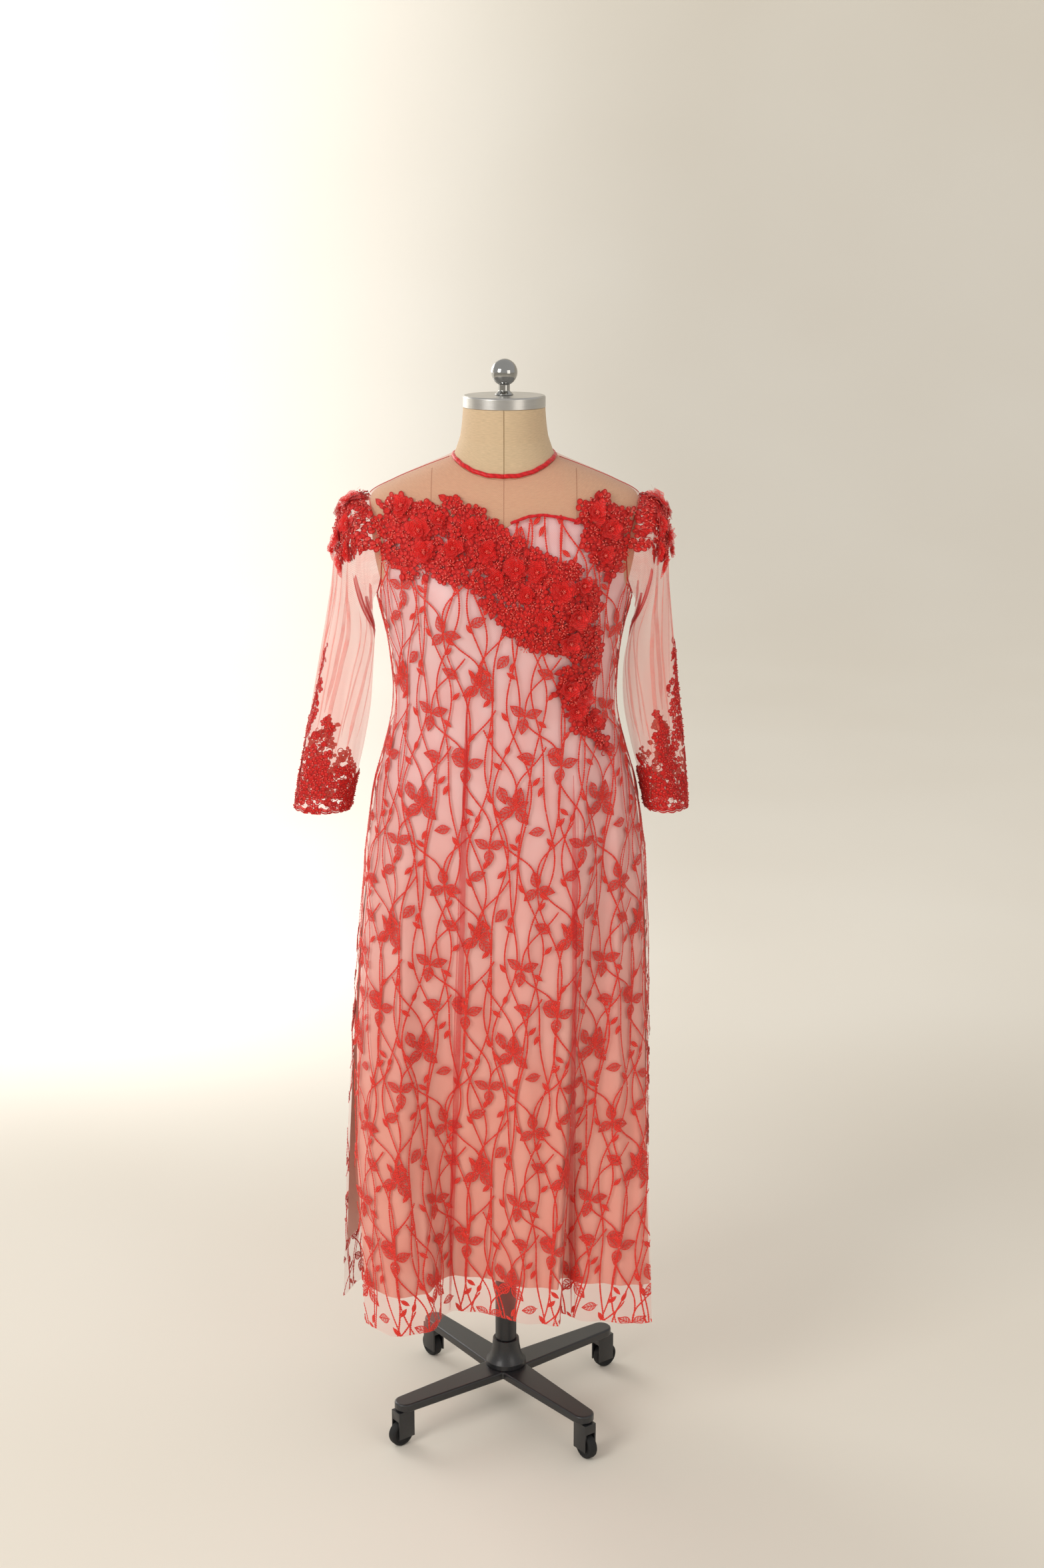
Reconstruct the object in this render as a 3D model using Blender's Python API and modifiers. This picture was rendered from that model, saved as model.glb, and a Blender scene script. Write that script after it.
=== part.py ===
"""Lace tunic with side slits, worn by a limbless dress form on a castered stand.

Metres, +Z up, the tunic's front faces -Y. All heights are above the floor.
Every cloth piece is read from one worn surface, which rings from the neck to the hip describe.
"""
import math

import bmesh
import bpy
from mathutils import Matrix, Vector
from mathutils.bvhtree import BVHTree


class Table:
    """A short table with named columns, a row for each section or fold."""

    def __init__(self, columns, rows):
        self.columns = columns
        self.rows = rows

    def values(self, name):
        place = self.columns.index(name)
        return [row[place] for row in self.rows]

    def smooth(self, name, position):
        """A column at a row number with a fraction, on a Catmull-Rom curve."""
        values = self.values(name)
        last = len(values) - 1
        position = min(max(position, 0.0), float(last))
        row = min(int(position), last - 1)
        t = position - row
        before, start, end, after = (values[min(max(row + k, 0), last)] for k in (-1, 0, 1, 2))
        bend = 2 * before - 5 * start + 4 * end - after
        twist = 3 * start - before - 3 * end + after
        return 0.5 * (2 * start + (end - before) * t + bend * t * t + twist * t * t * t)

    def straight(self, name, key):
        """A column by the first column, on straight lines."""
        pairs = sorted(zip((row[0] for row in self.rows), self.values(name)))
        return between(pairs, key)


def between(pairs, key):
    """The second value of sorted pairs at a first value, on straight lines."""
    if key <= pairs[0][0]:
        return pairs[0][1]
    for low, high in zip(pairs, pairs[1:]):
        if key <= high[0]:
            return low[1] + (high[1] - low[1]) * (key - low[0]) / (high[0] - low[0])
    return pairs[-1][1]


# Place of the form's axis, which puts the origin under the middle of the whole object
AXIS_X = 0.021
AXIS_Y = 0.007

# Cloth and seams
CLOTH = 0.0011
SEAM = 0.0003
SEAM_ANGLE = 0.0007
SEAM_REACH = 0.002
LINING_GAP = 0.0034
TRIM_LIFT = 0.0010

# Worn surface, one row for each ring, from the neckline to the hip
RINGS = Table(("side_x", "front_y", "back_y", "side_z", "front_z", "back_z"), (
    (0.078, 0.078, 0.070, 1.544, 1.519, 1.562),
    (0.118, 0.092, 0.096, 1.529, 1.500, 1.535),
    (0.163, 0.103, 0.114, 1.510, 1.478, 1.505),
    (0.199, 0.114, 0.124, 1.489, 1.455, 1.472),
    (0.2035, 0.124, 0.129, 1.455, 1.430, 1.440),
    (0.200, 0.135, 0.131, 1.400, 1.396, 1.398),
    (0.193, 0.142, 0.129, 1.362, 1.360, 1.361),
    (0.187, 0.145, 0.126, 1.330, 1.330, 1.330),
    (0.175, 0.141, 0.121, 1.280, 1.280, 1.280),
    (0.168, 0.132, 0.117, 1.220, 1.220, 1.220),
    (0.1685, 0.128, 0.115, 1.170, 1.170, 1.170),
    (0.179, 0.131, 0.121, 1.120, 1.120, 1.120),
    (0.198, 0.140, 0.136, 1.050, 1.050, 1.050),
    (0.209, 0.147, 0.146, 0.975, 0.975, 0.975),
    (0.2145, 0.150, 0.150, 0.920, 0.920, 0.920),
    (0.2145, 0.150, 0.150, 0.800, 0.800, 0.800),
))
WAIST_ROW = 9.5
ROUNDNESS = 2.3
BUST_RISE = 0.013
BUST_X = 0.082
BUST_Z = 1.345
BUST_WIDE = 0.052
BUST_TALL = 0.062

# Armhole
TIP_Z = 1.489
UNDERARM_Z = 1.340
ARMHOLE_ANGLE = math.radians(31)
ARMHOLE_HEIGHTS = (1.489, 1.465, 1.435, 1.405, 1.375, 1.352, 1.340)
YOKE_SIDE_HEIGHTS = (1.544, 1.516, 1.489, 1.465, 1.435)
BACK_EDGE_Z = 1.435
SLEEVE_SEAM = 0.00075
ZIP_HALF_SHARE = 0.003

# Sweetheart edge: height over the distance from the middle
SWEETHEART_MIDDLE_Z = 1.455
SWEETHEART = Table(("x", "z"), (
    (0.000, 1.4520),
    (0.012, 1.4600),
    (0.035, 1.4680),
    (0.056, 1.4700),
    (0.086, 1.4655),
    (0.106, 1.4605),
    (0.140, 1.4480),
    (0.182, 1.4350),
))

# Skirt
HIP_Z = 0.920
FOLD_TOP_Z = 1.170
FRONT_HEM_Z = 0.226
BACK_HEM_Z = 0.185
HEM_COLUMNS = ("x", "y", "parts")
FRONT_HEM = Table(HEM_COLUMNS, (
    (-0.2157, -0.156, 3),
    (-0.176, -0.197, 2),
    (-0.132, -0.197, 2),
    (-0.108, -0.180, 2),
    (-0.098, -0.139, 1),
    (-0.080, -0.115, 2),
    (-0.043, -0.120, 2),
    (-0.006, -0.145, 2),
    (0.038, -0.158, 3),
    (0.082, -0.169, 2),
    (0.086, -0.126, 2),
    (0.126, -0.150, 3),
    (0.199, -0.160, 2),
    (0.2265, -0.156, 0),
))
BACK_HEM = Table(HEM_COLUMNS, (
    (0.222, 0.012, 2),
    (0.212, 0.070, 2),
    (0.172, 0.118, 2),
    (0.122, 0.128, 2),
    (0.075, 0.164, 3),
    (0.000, 0.140, 3),
    (-0.078, 0.166, 2),
    (-0.130, 0.130, 2),
    (-0.185, 0.122, 2),
    (-0.240, 0.072, 2),
    (-0.262, 0.012, 0),
))
FRONT_HEM_FLAT = (-0.156, 0.0)
BACK_HEM_FLAT = (0.012, 0.138)
# How far the side edges swing out between hip and hem, beside the straight line
SWING = Table(("z", "front_right", "front_left", "back"), (
    (0.920, 0.000, 0.000, 0.000),
    (0.800, 0.009, 0.001, 0.006),
    (0.650, 0.017, 0.000, 0.008),
    (0.465, 0.016, -0.002, 0.007),
    (0.226, 0.000, 0.000, 0.002),
    (0.185, 0.000, 0.000, 0.000),
))
FRONT_HEIGHTS = (
    1.405, 1.375, 1.352, 1.340, 1.310, 1.275, 1.240, 1.205, 1.170,
    1.120, 1.070, 1.010, 0.920, 0.800, 0.650, 0.465, 0.226,
)
BACK_HEIGHTS = (
    1.405, 1.375, 1.352, 1.340, 1.290, 1.235, 1.170, 1.100, 1.030, 0.920, 0.700, 0.450, 0.185,
)
FRONT_LINING_HEIGHTS = (
    1.405, 1.375, 1.352, 1.340, 1.275, 1.205, 1.170, 1.120, 1.010, 0.920, 0.650, 0.465, 0.285,
)
BACK_LINING_HEIGHTS = (
    1.405, 1.375, 1.352, 1.340, 1.290, 1.235, 1.170, 1.100, 1.030, 0.920, 0.285,
)

# Sleeves: the outer and the inner line, and half the depth, one row for each ring after the armhole
SLEEVE_COLUMNS = ("outer_x", "outer_z", "inner_x", "inner_z", "half_y", "fold")
LEFT_SLEEVE = Table(SLEEVE_COLUMNS, (
    (0.222, 1.484, 0.1945, 1.3330, 0.072, 0.000),
    (0.236, 1.458, 0.1955, 1.3250, 0.068, 0.002),
    (0.242, 1.410, 0.1945, 1.3130, 0.062, 0.004),
    (0.246, 1.350, 0.1900, 1.2950, 0.056, 0.005),
    (0.251, 1.290, 0.1830, 1.2650, 0.052, 0.005),
    (0.255, 1.230, 0.1775, 1.2250, 0.050, 0.005),
    (0.260, 1.170, 0.1795, 1.1700, 0.048, 0.005),
    (0.266, 1.115, 0.1905, 1.1150, 0.047, 0.004),
    (0.271, 1.065, 0.2035, 1.0650, 0.046, 0.003),
    (0.277, 1.012, 0.2140, 1.0120, 0.046, 0.001),
))
RIGHT_SLEEVE = Table(SLEEVE_COLUMNS, (
    (0.222, 1.484, 0.1945, 1.3330, 0.072, 0.000),
    (0.239, 1.458, 0.1965, 1.3250, 0.069, 0.002),
    (0.249, 1.410, 0.1970, 1.3130, 0.064, 0.004),
    (0.256, 1.350, 0.1960, 1.2950, 0.058, 0.005),
    (0.267, 1.290, 0.1950, 1.2700, 0.053, 0.005),
    (0.280, 1.230, 0.1970, 1.2250, 0.050, 0.005),
    (0.293, 1.170, 0.2010, 1.1700, 0.048, 0.005),
    (0.304, 1.115, 0.2110, 1.1150, 0.047, 0.004),
    (0.312, 1.065, 0.2230, 1.0650, 0.046, 0.003),
    (0.320, 1.010, 0.2360, 1.0100, 0.046, 0.001),
))
SLEEVE_WAVES = 4
UNIT_LIFT = 0.001
SLEEVE_SUBDIVISIONS = 2

# Cuff lace
CUFF_TOP_T = 7.7
CUFF_CLIMB_T = 4.9
CUFF_CLIMB_ANGLE = 0.50
CUFF_SCALLOPS = 8
CUFF_SCALLOP_T = 0.09
CUFF_ROWS = 6
CUFF_BOTTOM_T = 9.93
CUFF_TOP_WAVE = 0.12
CUFF_TOP_WAVES = 7
CUFF_BUMP_REACH = 0.045
CUFF_BUMP_STEP = 0.055

# Corded applique: stations with the two edges, in the front view
BAND_COLUMNS = ("x", "top_z", "bottom_z")
BUST_BAND = Table(BAND_COLUMNS, (
    (-0.162, 1.497, 1.390),
    (-0.135, 1.494, 1.374),
    (-0.111, 1.492, 1.375),
    (-0.088, 1.496, 1.372),
    (-0.066, 1.496, 1.374),
    (-0.045, 1.489, 1.362),
    (-0.030, 1.481, 1.345),
    (-0.012, 1.467, 1.325),
    (0.003, 1.453, 1.300),
    (0.026, 1.440, 1.278),
    (0.050, 1.4225, 1.272),
    (0.074, 1.414, 1.270),
    (0.090, 1.411, 1.262),
    (0.106, 1.408, 1.248),
    (0.123, 1.381, 1.248),
    (0.134, 1.360, 1.250),
))
LEFT_BUST_BAND = Table(BAND_COLUMNS, (
    (0.108, 1.480, 1.457),
    (0.118, 1.494, 1.425),
    (0.130, 1.500, 1.396),
    (0.140, 1.501, 1.376),
    (0.152, 1.494, 1.378),
    (0.161, 1.484, 1.392),
    (0.168, 1.476, 1.405),
))
CASCADE = Table(("z", "left_x", "right_x"), (
    (1.2400, 0.0775, 0.134),
    (1.2250, 0.0750, 0.132),
    (1.2060, 0.0735, 0.130),
    (1.1850, 0.0850, 0.136),
    (1.1610, 0.0975, 0.145),
    (1.1480, 0.1150, 0.148),
    (1.1330, 0.1310, 0.150),
    (1.1110, 0.1370, 0.151),
    (1.0990, 0.1405, 0.146),
))
BUST_LIFT = 0.0027
HIP_LIFT = 0.0012
APPLIQUE_STEP = 0.0115
APPLIQUE_ACROSS = 8
APPLIQUE_THIN = 0.0010
APPLIQUE_BUMP = 0.0026
APPLIQUE_PITCH = 0.026
LOBE_PITCH = 0.030
LOBE_DEPTH = 0.0045
BAND_PHASES = (0.4, 2.2)
CASCADE_PHASES = (0.0, 1.9)
CASCADE_LOBE = 0.6
SHOULDER_POSITIONS = (0.25, 0.5, 1.0, 1.5, 2.0)
SHOULDER_LIFT = 0.0022
SHOULDER_ARCH = 0.55
SHOULDER_LOBE = 0.12
SHOULDER_LOBE_TURN = 2.1
SHOULDER_BUMP_ACROSS = 0.014
SHOULDER_BUMP_DOWN = 0.017
SHOULDER_LONG = 3.15
CUFF_LIFT = 0.0018

# Neck binding and piping
BINDING_RADIUS = 0.0032
BINDING_CLEAR = 0.0011
BINDING_POINTS = 36
PIPING_RADIUS = 0.0021
PIPING_START_X = 0.017
PIPING_END_X = 0.103
PIPING_POINTS = 15
PIPING_CLEAR = 0.0007
EDGE_INSET = 0.0001
EDGE_REACH = 0.004

# Zip at the centre back
ZIP_BOTTOM_Z = 1.200
ZIP_HALF_WIDTH = 0.0045
ZIP_THICK = 0.0012
ZIP_EDGE_SHARE = 0.7
ZIP_DROP = 0.004
SLIDER_LONG = 0.009
SLIDER_WIDE = 0.0060
SLIDER_THICK = 0.0016
SLIDER_Z = 1.5335
EAR_THICK = 0.0010
EAR_HIGH = 0.0030
EAR_LONG = 0.0026
EAR_INSET = 0.0002
EAR_SINK = 0.0004
PULL_PIN_RADIUS = 0.0005
PULL_PIN_DROP = 0.0012
PULL_LONG = 0.016
PULL_WIDE = 0.0036
PULL_THICK = 0.0010
PULL_CLEAR = 0.0003
PULL_LEAN = 9
PULL_RIM = 0.0007
PULL_SIDES = 12
PULL_DROP_HALF = 0.0026
PULL_NECK_HALF = 0.0009
PULL_NECK_SINK = 0.0003

# Dress form
FORM_GAP = Table(("z", "gap"), (
    (1.560, 0.0065),
    (1.500, 0.0050),
    (1.450, 0.0065),
    (1.340, 0.0100),
    (1.170, 0.0085),
    (1.050, 0.0130),
    (0.920, 0.0220),
    (0.820, 0.0300),
))
FORM_SHOULDER_GAP = 0.004
FORM_SEGMENTS = 24
FORM_HEIGHTS = (
    1.405, 1.370, 1.335, 1.300, 1.260, 1.215, 1.170, 1.120, 1.060, 0.990, 0.920, 0.850, 0.820,
)
NECK_RINGS = Table(("radius_x", "front_y", "back_y", "side_z", "front_z", "back_z"), (
    (0.0600, 0.0600, 0.0600, 1.6147, 1.6147, 1.6147),
    (0.0620, 0.0620, 0.0590, 1.590, 1.588, 1.592),
    (0.0655, 0.0645, 0.0590, 1.566, 1.556, 1.580),
))
FORM_BOTTOM_Z = 0.820

# Neck cap and finial
CAP_RADIUS = 0.0605
CAP_HEIGHT = 0.017
CAP_BASE_Z = 1.615
CAP_EDGE = 0.0015
STEM_RADIUS = 0.0105
STEM_HEIGHT = 0.013
STEM_NECK_RADIUS = 0.0084
STEM_FOOT_RADIUS = 0.01365
STEM_FOOT_TOP = 0.004
STEM_NECK_BOTTOM = 0.006
BALL_RADIUS = 0.0195
BALL_STEPS = 7

# Stand
POLE_RADIUS = 0.0125
SLEEVE_TUBE_RADIUS = 0.0170
SLEEVE_TUBE_TOP_Z = 0.460
COLLAR_RADIUS = 0.0250
COLLAR_HEIGHT = 0.030
FLANGE_RADIUS = 0.055
FLANGE_THICK = 0.006
BASE_TOP_Z = 0.074
BASE_THICK = 0.014
SOCKET_RADIUS = 0.032
SOCKET_HEIGHT = 0.045
SOCKET_LIP = 0.004
SOCKET_SKIRT = 0.012
LEG_REACH = 0.199
LEG_FIRST_ANGLE = 37.5
LEG_COUNT = 4
LEG_ROOT_HALF = 0.024
LEG_TIP_HALF = 0.017
LEG_ROOT_SHARE = 1.02
LEG_TIP_STEPS = 6
WHEEL_RADIUS = 0.020
WHEEL_HALF_WIDTH = 0.0075
WHEEL_SIDES = 16
WHEEL_BORE = 0.0034
WHEEL_CHAMFER = 0.0015
WHEEL_FACE_SHARE = 0.86
AXLE_RADIUS = 0.0030
TRAIL = 0.009
FORK_THICK = 0.0025
FORK_HALF_LONG = 0.010
FORK_SIDE_CLEAR = 0.0006
FORK_BELOW_HUB = 0.006
FORK_ROOM_LONG = 0.08
FORK_ROOM_ABOVE = 0.004

COLOURS = {
    "net": ((0.80, 0.09, 0.07, 1), 0.7, 0.0),
    "lace": ((0.62, 0.03, 0.03, 1), 0.6, 0.0),
    "satin": ((0.80, 0.50, 0.46, 1), 0.35, 0.0),
    "binding": ((0.62, 0.01, 0.02, 1), 0.4, 0.0),
    "linen": ((0.64, 0.45, 0.28, 1), 0.8, 0.0),
    "steel": ((0.70, 0.70, 0.72, 1), 0.25, 1.0),
    "iron": ((0.04, 0.04, 0.045, 1), 0.5, 0.0),
    "rubber": ((0.02, 0.02, 0.02, 1), 0.8, 0.0),
}


def clear_scene():
    """Removes what a new file starts with, and makes the two collections."""
    for item in list(bpy.data.objects):
        bpy.data.objects.remove(item, do_unlink=True)
    parts = bpy.data.collections.new("lace_tunic_on_dress_form")
    cutters = bpy.data.collections.new("cutters")
    for group in (parts, cutters):
        bpy.context.scene.collection.children.link(group)
    return parts, cutters


PARTS, CUTTERS = clear_scene()


def material(kind):
    """Returns the material of that kind, made on first use."""
    found = bpy.data.materials.get(kind)
    if found:
        return found
    colour, roughness, metallic = COLOURS[kind]
    made = bpy.data.materials.new(kind)
    made.use_nodes = True
    shader = made.node_tree.nodes["Principled BSDF"]
    shader.inputs["Base Color"].default_value = colour
    shader.inputs["Roughness"].default_value = roughness
    shader.inputs["Metallic"].default_value = metallic
    return made


def signed_power(value, power):
    return math.copysign(abs(value) ** power, value)


# Worn surface
def ring_z(angle, row):
    """Height of a ring at an angle, 0 in front and 90 degrees at the wearer's left."""
    middle = "front_z" if math.cos(angle) > 0 else "back_z"
    side_z = RINGS.smooth("side_z", row)
    return side_z + (RINGS.smooth(middle, row) - side_z) * math.cos(angle) ** 2


def row_at(angle, z):
    """The ring, with a fraction, that has height z at an angle."""
    low, high = 0.0, float(len(RINGS.rows) - 1)
    for _ in range(26):
        middle = (low + high) / 2
        if ring_z(angle, middle) > z:
            low = middle
        else:
            high = middle
    return (low + high) / 2


def worn(angle, z, inward=0.0, drop=0.0):
    """A point of the worn surface at an angle and height, moved inward and down for the form."""
    row = row_at(angle, z)
    side_x = RINGS.smooth("side_x", row) - inward
    depth = RINGS.smooth("front_y" if math.cos(angle) > 0 else "back_y", row) - inward
    x = side_x * signed_power(math.sin(angle), 2 / ROUNDNESS)
    y = -depth * signed_power(math.cos(angle), 2 / ROUNDNESS)
    if math.cos(angle) > 0:
        across = (abs(x) - BUST_X) / BUST_WIDE
        up = (z - BUST_Z) / BUST_TALL
        y -= BUST_RISE * math.exp(-across * across - up * up)
    return Vector((x, y, z - drop))


def neck_z(angle):
    return ring_z(angle, 0.0)


def side_limit(z):
    """The angle where a front section ends: the side seam, or the armhole where there is one."""
    middle = (TIP_Z + UNDERARM_Z) / 2
    half = (TIP_Z - UNDERARM_Z) / 2
    share = (z - middle) / half
    opening = 0.0
    if abs(share) < 1:
        opening = ARMHOLE_ANGLE * math.sqrt(1 - share * share)
    return math.pi / 2 - max(opening, SEAM_ANGLE)


def arc_shares(depth_column):
    """Arc length along a waist section over the angle, as a share of its half."""
    steps = 60
    wide = RINGS.smooth("side_x", WAIST_ROW)
    deep = RINGS.smooth(depth_column, WAIST_ROW)
    points = []
    for k in range(steps + 1):
        angle = math.pi / 2 * k / steps
        points.append((
            wide * signed_power(math.sin(angle), 2 / ROUNDNESS),
            deep * signed_power(math.cos(angle), 2 / ROUNDNESS),
        ))
    lengths = [0.0]
    for a, b in zip(points, points[1:]):
        lengths.append(lengths[-1] + math.dist(a, b))
    return [(s / lengths[-1], k / steps) for k, s in enumerate(lengths)]


FRONT_SHARES = arc_shares("front_y")
BACK_SHARES = arc_shares("back_y")


def front_angle(across, limit):
    """Angle of a front column: across runs from -1 to 1 along the cloth."""
    return math.copysign(between(FRONT_SHARES, abs(across)) * limit, across)


def back_angle(across, limit):
    """Angle of a back column, from the wearer's left at -1 round to the right at 1."""
    return math.pi + math.copysign(between(BACK_SHARES, abs(across)) * limit, across)


def hem_columns(hem):
    """Columns along a hem: (across, x, y), with across from -1 to 1 by length."""
    lengths = [0.0]
    for a, b in zip(hem.rows, hem.rows[1:]):
        lengths.append(lengths[-1] + math.dist(a[:2], b[:2]))
    total = lengths[-1]
    columns = []
    for k, parts in enumerate(hem.values("parts")[:-1]):
        for part in range(parts):
            share = part / parts
            across = 2 * (lengths[k] + (lengths[k + 1] - lengths[k]) * share) / total - 1
            columns.append((across, bend_at(hem, "x", k + share), bend_at(hem, "y", k + share)))
    columns.append((1.0, hem.values("x")[-1], hem.values("y")[-1]))
    return columns


def bend_at(hem, column, position):
    """A hem's column between its rows, half way between a smooth curve and straight lines."""
    values = hem.values(column)
    row = min(int(position), len(values) - 2)
    straight = values[row] + (values[row + 1] - values[row]) * (position - row)
    return (straight + hem.smooth(column, position)) / 2


def hem_flat(across, hem, flat):
    """The hem without its folds."""
    corner_y, depth = flat
    share = (across + 1) / 2
    ends = hem.values("x")
    x = ends[0] + (ends[-1] - ends[0]) * share
    return x, corner_y + depth * (1 - abs(across) ** 3)


def fold_growth(z, hem_z):
    """How much of a hem fold is there at height z."""
    if z >= FOLD_TOP_Z:
        return 0.0
    return ((FOLD_TOP_Z - z) / (FOLD_TOP_Z - hem_z)) ** 1.1


def swing_at(z, across, is_front):
    column = "back"
    if is_front:
        column = "front_right" if across < 0 else "front_left"
    side = math.copysign(1, across if is_front else -across)
    return side * SWING.straight(column, z) * abs(across) ** 3


def panel_point(column, z, is_front):
    """A point of the front or back panel: the worn surface down to the hip, then free cloth."""
    across, hem_x, hem_y = column
    hem, flat, hem_z = (FRONT_HEM, FRONT_HEM_FLAT, FRONT_HEM_Z) if is_front else (
        BACK_HEM, BACK_HEM_FLAT, BACK_HEM_Z)
    turn = front_angle if is_front else back_angle
    angle = turn(across, side_limit(z))
    point = worn(angle, max(z, HIP_Z))
    point.z = z
    flat_x, flat_y = hem_flat(across, hem, flat)
    if z < HIP_Z:
        fall = (HIP_Z - z) / (HIP_Z - hem_z)
        point.x += (flat_x - point.x) * fall + swing_at(z, across, is_front)
        point.y += (flat_y - point.y) * fall
    growth = fold_growth(z, hem_z)
    point.x += (hem_x - flat_x) * growth
    point.y += (hem_y - flat_y) * growth
    return point


def sweetheart_z(x):
    return SWEETHEART.straight("z", abs(x))


def sweetheart_point(across, below=0.0):
    """A point of the sweetheart edge, or just below it."""
    angle = front_angle(across, side_limit(BACK_EDGE_Z))
    x = worn(angle, SWEETHEART_MIDDLE_Z).x
    return worn(angle, sweetheart_z(x) - below)


# Mesh helpers
def add_object(name, mesh, kind, group=None):
    made = bpy.data.objects.new(name, mesh)
    (group or PARTS).objects.link(made)
    made.data.materials.append(material(kind))
    return made


def at_axis(point):
    """From the form's axis to the object's own frame."""
    return Vector((point.x + AXIS_X, point.y + AXIS_Y, point.z))


def grid_mesh(name, rows, wrap=False, flip=False):
    """An open mesh from rows of points, all of one length."""
    shape = bmesh.new()
    verts = [[shape.verts.new(at_axis(p)) for p in row] for row in rows]
    count = len(rows[0])
    for upper, lower in zip(verts, verts[1:]):
        for c in range(count if wrap else count - 1):
            n = (c + 1) % count
            face = (upper[c], lower[c], lower[n], upper[n])
            shape.faces.new(tuple(reversed(face)) if flip else face)
    mesh = bpy.data.meshes.new(name)
    shape.to_mesh(mesh)
    shape.free()
    return mesh


def cloth(name, rows, kind, wrap=False, flip=False):
    """A cloth wall: rows of outer points, with the thickness inward."""
    made = add_object(name, grid_mesh(name, rows, wrap, flip), kind)
    thick = made.modifiers.new("cloth", "SOLIDIFY")
    thick.thickness = CLOTH
    thick.offset = -1
    thick.use_even_offset = True
    made.data.shade_smooth()
    return made


def relief(name, outer, inner, kind, wrap=False):
    """A closed wall between raised outer points and plain inner points."""
    shape = bmesh.new()
    top = [[shape.verts.new(at_axis(p)) for p in row] for row in outer]
    base = [[shape.verts.new(at_axis(p)) for p in row] for row in inner]
    rows, count = len(outer), len(outer[0])
    steps = count if wrap else count - 1
    for r in range(rows - 1):
        for c in range(steps):
            n = (c + 1) % count
            for skin in (top, base):
                shape.faces.new((skin[r][c], skin[r + 1][c], skin[r + 1][n]))
                shape.faces.new((skin[r][c], skin[r + 1][n], skin[r][n]))
    for r in (0, rows - 1):
        for c in range(steps):
            n = (c + 1) % count
            shape.faces.new((top[r][c], top[r][n], base[r][n], base[r][c]))
    if not wrap:
        for c in (0, count - 1):
            for r in range(rows - 1):
                shape.faces.new((top[r][c], top[r + 1][c], base[r + 1][c], base[r][c]))
    bmesh.ops.recalc_face_normals(shape, faces=shape.faces)
    mesh = bpy.data.meshes.new(name)
    shape.to_mesh(mesh)
    shape.free()
    made = add_object(name, mesh, kind)
    made.data.shade_smooth()
    return made


def turned(name, profile, kind, steps=32, centre=(0.0, 0.0)):
    """A turned shape: a profile of (radius, z) from the top outer side down, closed on its axis."""
    mesh = bpy.data.meshes.new(name)
    points = [Vector((r, 0, z)) for r, z in profile]
    edges = [(k, k + 1) for k in range(len(points) - 1)]
    mesh.from_pydata(points, edges, [])
    made = add_object(name, mesh, kind)
    made.location = (AXIS_X + centre[0], AXIS_Y + centre[1], 0)
    spin = made.modifiers.new("turn", "SCREW")
    spin.steps = steps
    spin.render_steps = steps
    spin.use_merge_vertices = True
    spin.merge_threshold = 0.0001
    spin.use_smooth_shade = True
    return made


def tube(name, points, radius, kind, cyclic=False, sides=2):
    """A tube on a run of points."""
    data = bpy.data.curves.new(name, "CURVE")
    data.dimensions = "3D"
    line = data.splines.new("POLY")
    line.points.add(len(points) - 1)
    for slot, p in zip(line.points, points):
        slot.co = (*at_axis(p), 1)
    line.use_cyclic_u = cyclic
    data.bevel_depth = radius
    data.bevel_resolution = sides
    data.use_fill_caps = not cyclic
    made = bpy.data.objects.new(name, data)
    PARTS.objects.link(made)
    data.materials.append(material(kind))
    return made


def inset_row(row, distance):
    """A row of points moved inward, square to its run, with mitred corners."""
    moved = []
    for k, p in enumerate(row):
        before = row[max(k - 1, 0)]
        after = row[min(k + 1, len(row) - 1)]
        sides = []
        for a, b in ((before, p), (p, after)):
            run = Vector((b.x - a.x, b.y - a.y))
            if run.length > 1e-9:
                run.normalize()
                sides.append(Vector((-run.y, run.x)))
        normal = sum(sides, Vector((0, 0)))
        normal.normalize()
        stretch = min(1 / max(normal.dot(sides[0]), 0.5), 1.8)
        shift = normal * distance * stretch
        if abs(p.y) < SEAM_REACH:
            shift.y = 0
        moved.append(Vector((p.x + shift.x, p.y + shift.y, p.z)))
    return moved


# Yokes and panels
FRONT_COLUMNS = hem_columns(FRONT_HEM)
BACK_COLUMNS = hem_columns(BACK_HEM)


def yoke_rows(columns, is_front):
    """Rows of a yoke from the neckline to its lower edge."""
    top, bottom = YOKE_SIDE_HEIGHTS[0], YOKE_SIDE_HEIGHTS[-1]
    turn = front_angle if is_front else back_angle
    rows = []
    for side_z in YOKE_SIDE_HEIGHTS:
        share = (top - side_z) / (top - bottom)
        row = []
        for across, _, _ in columns:
            angle = turn(across, side_limit(side_z))
            if is_front:
                end = sweetheart_point(across).z + SEAM
            else:
                end = BACK_EDGE_Z + SEAM
            row.append(worn(angle, neck_z(angle) + (end - neck_z(angle)) * share))
        rows.append(row)
    return rows


def panel_rows(columns, heights, is_front):
    """Rows of a panel from its upper edge to its hem."""
    if is_front:
        first = [sweetheart_point(c[0], SEAM) for c in columns]
    else:
        first = [worn(back_angle(c[0], side_limit(BACK_EDGE_Z)), BACK_EDGE_Z - SEAM) for c in columns]
    return [first] + [[panel_point(c, z, is_front) for c in columns] for z in heights]


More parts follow.
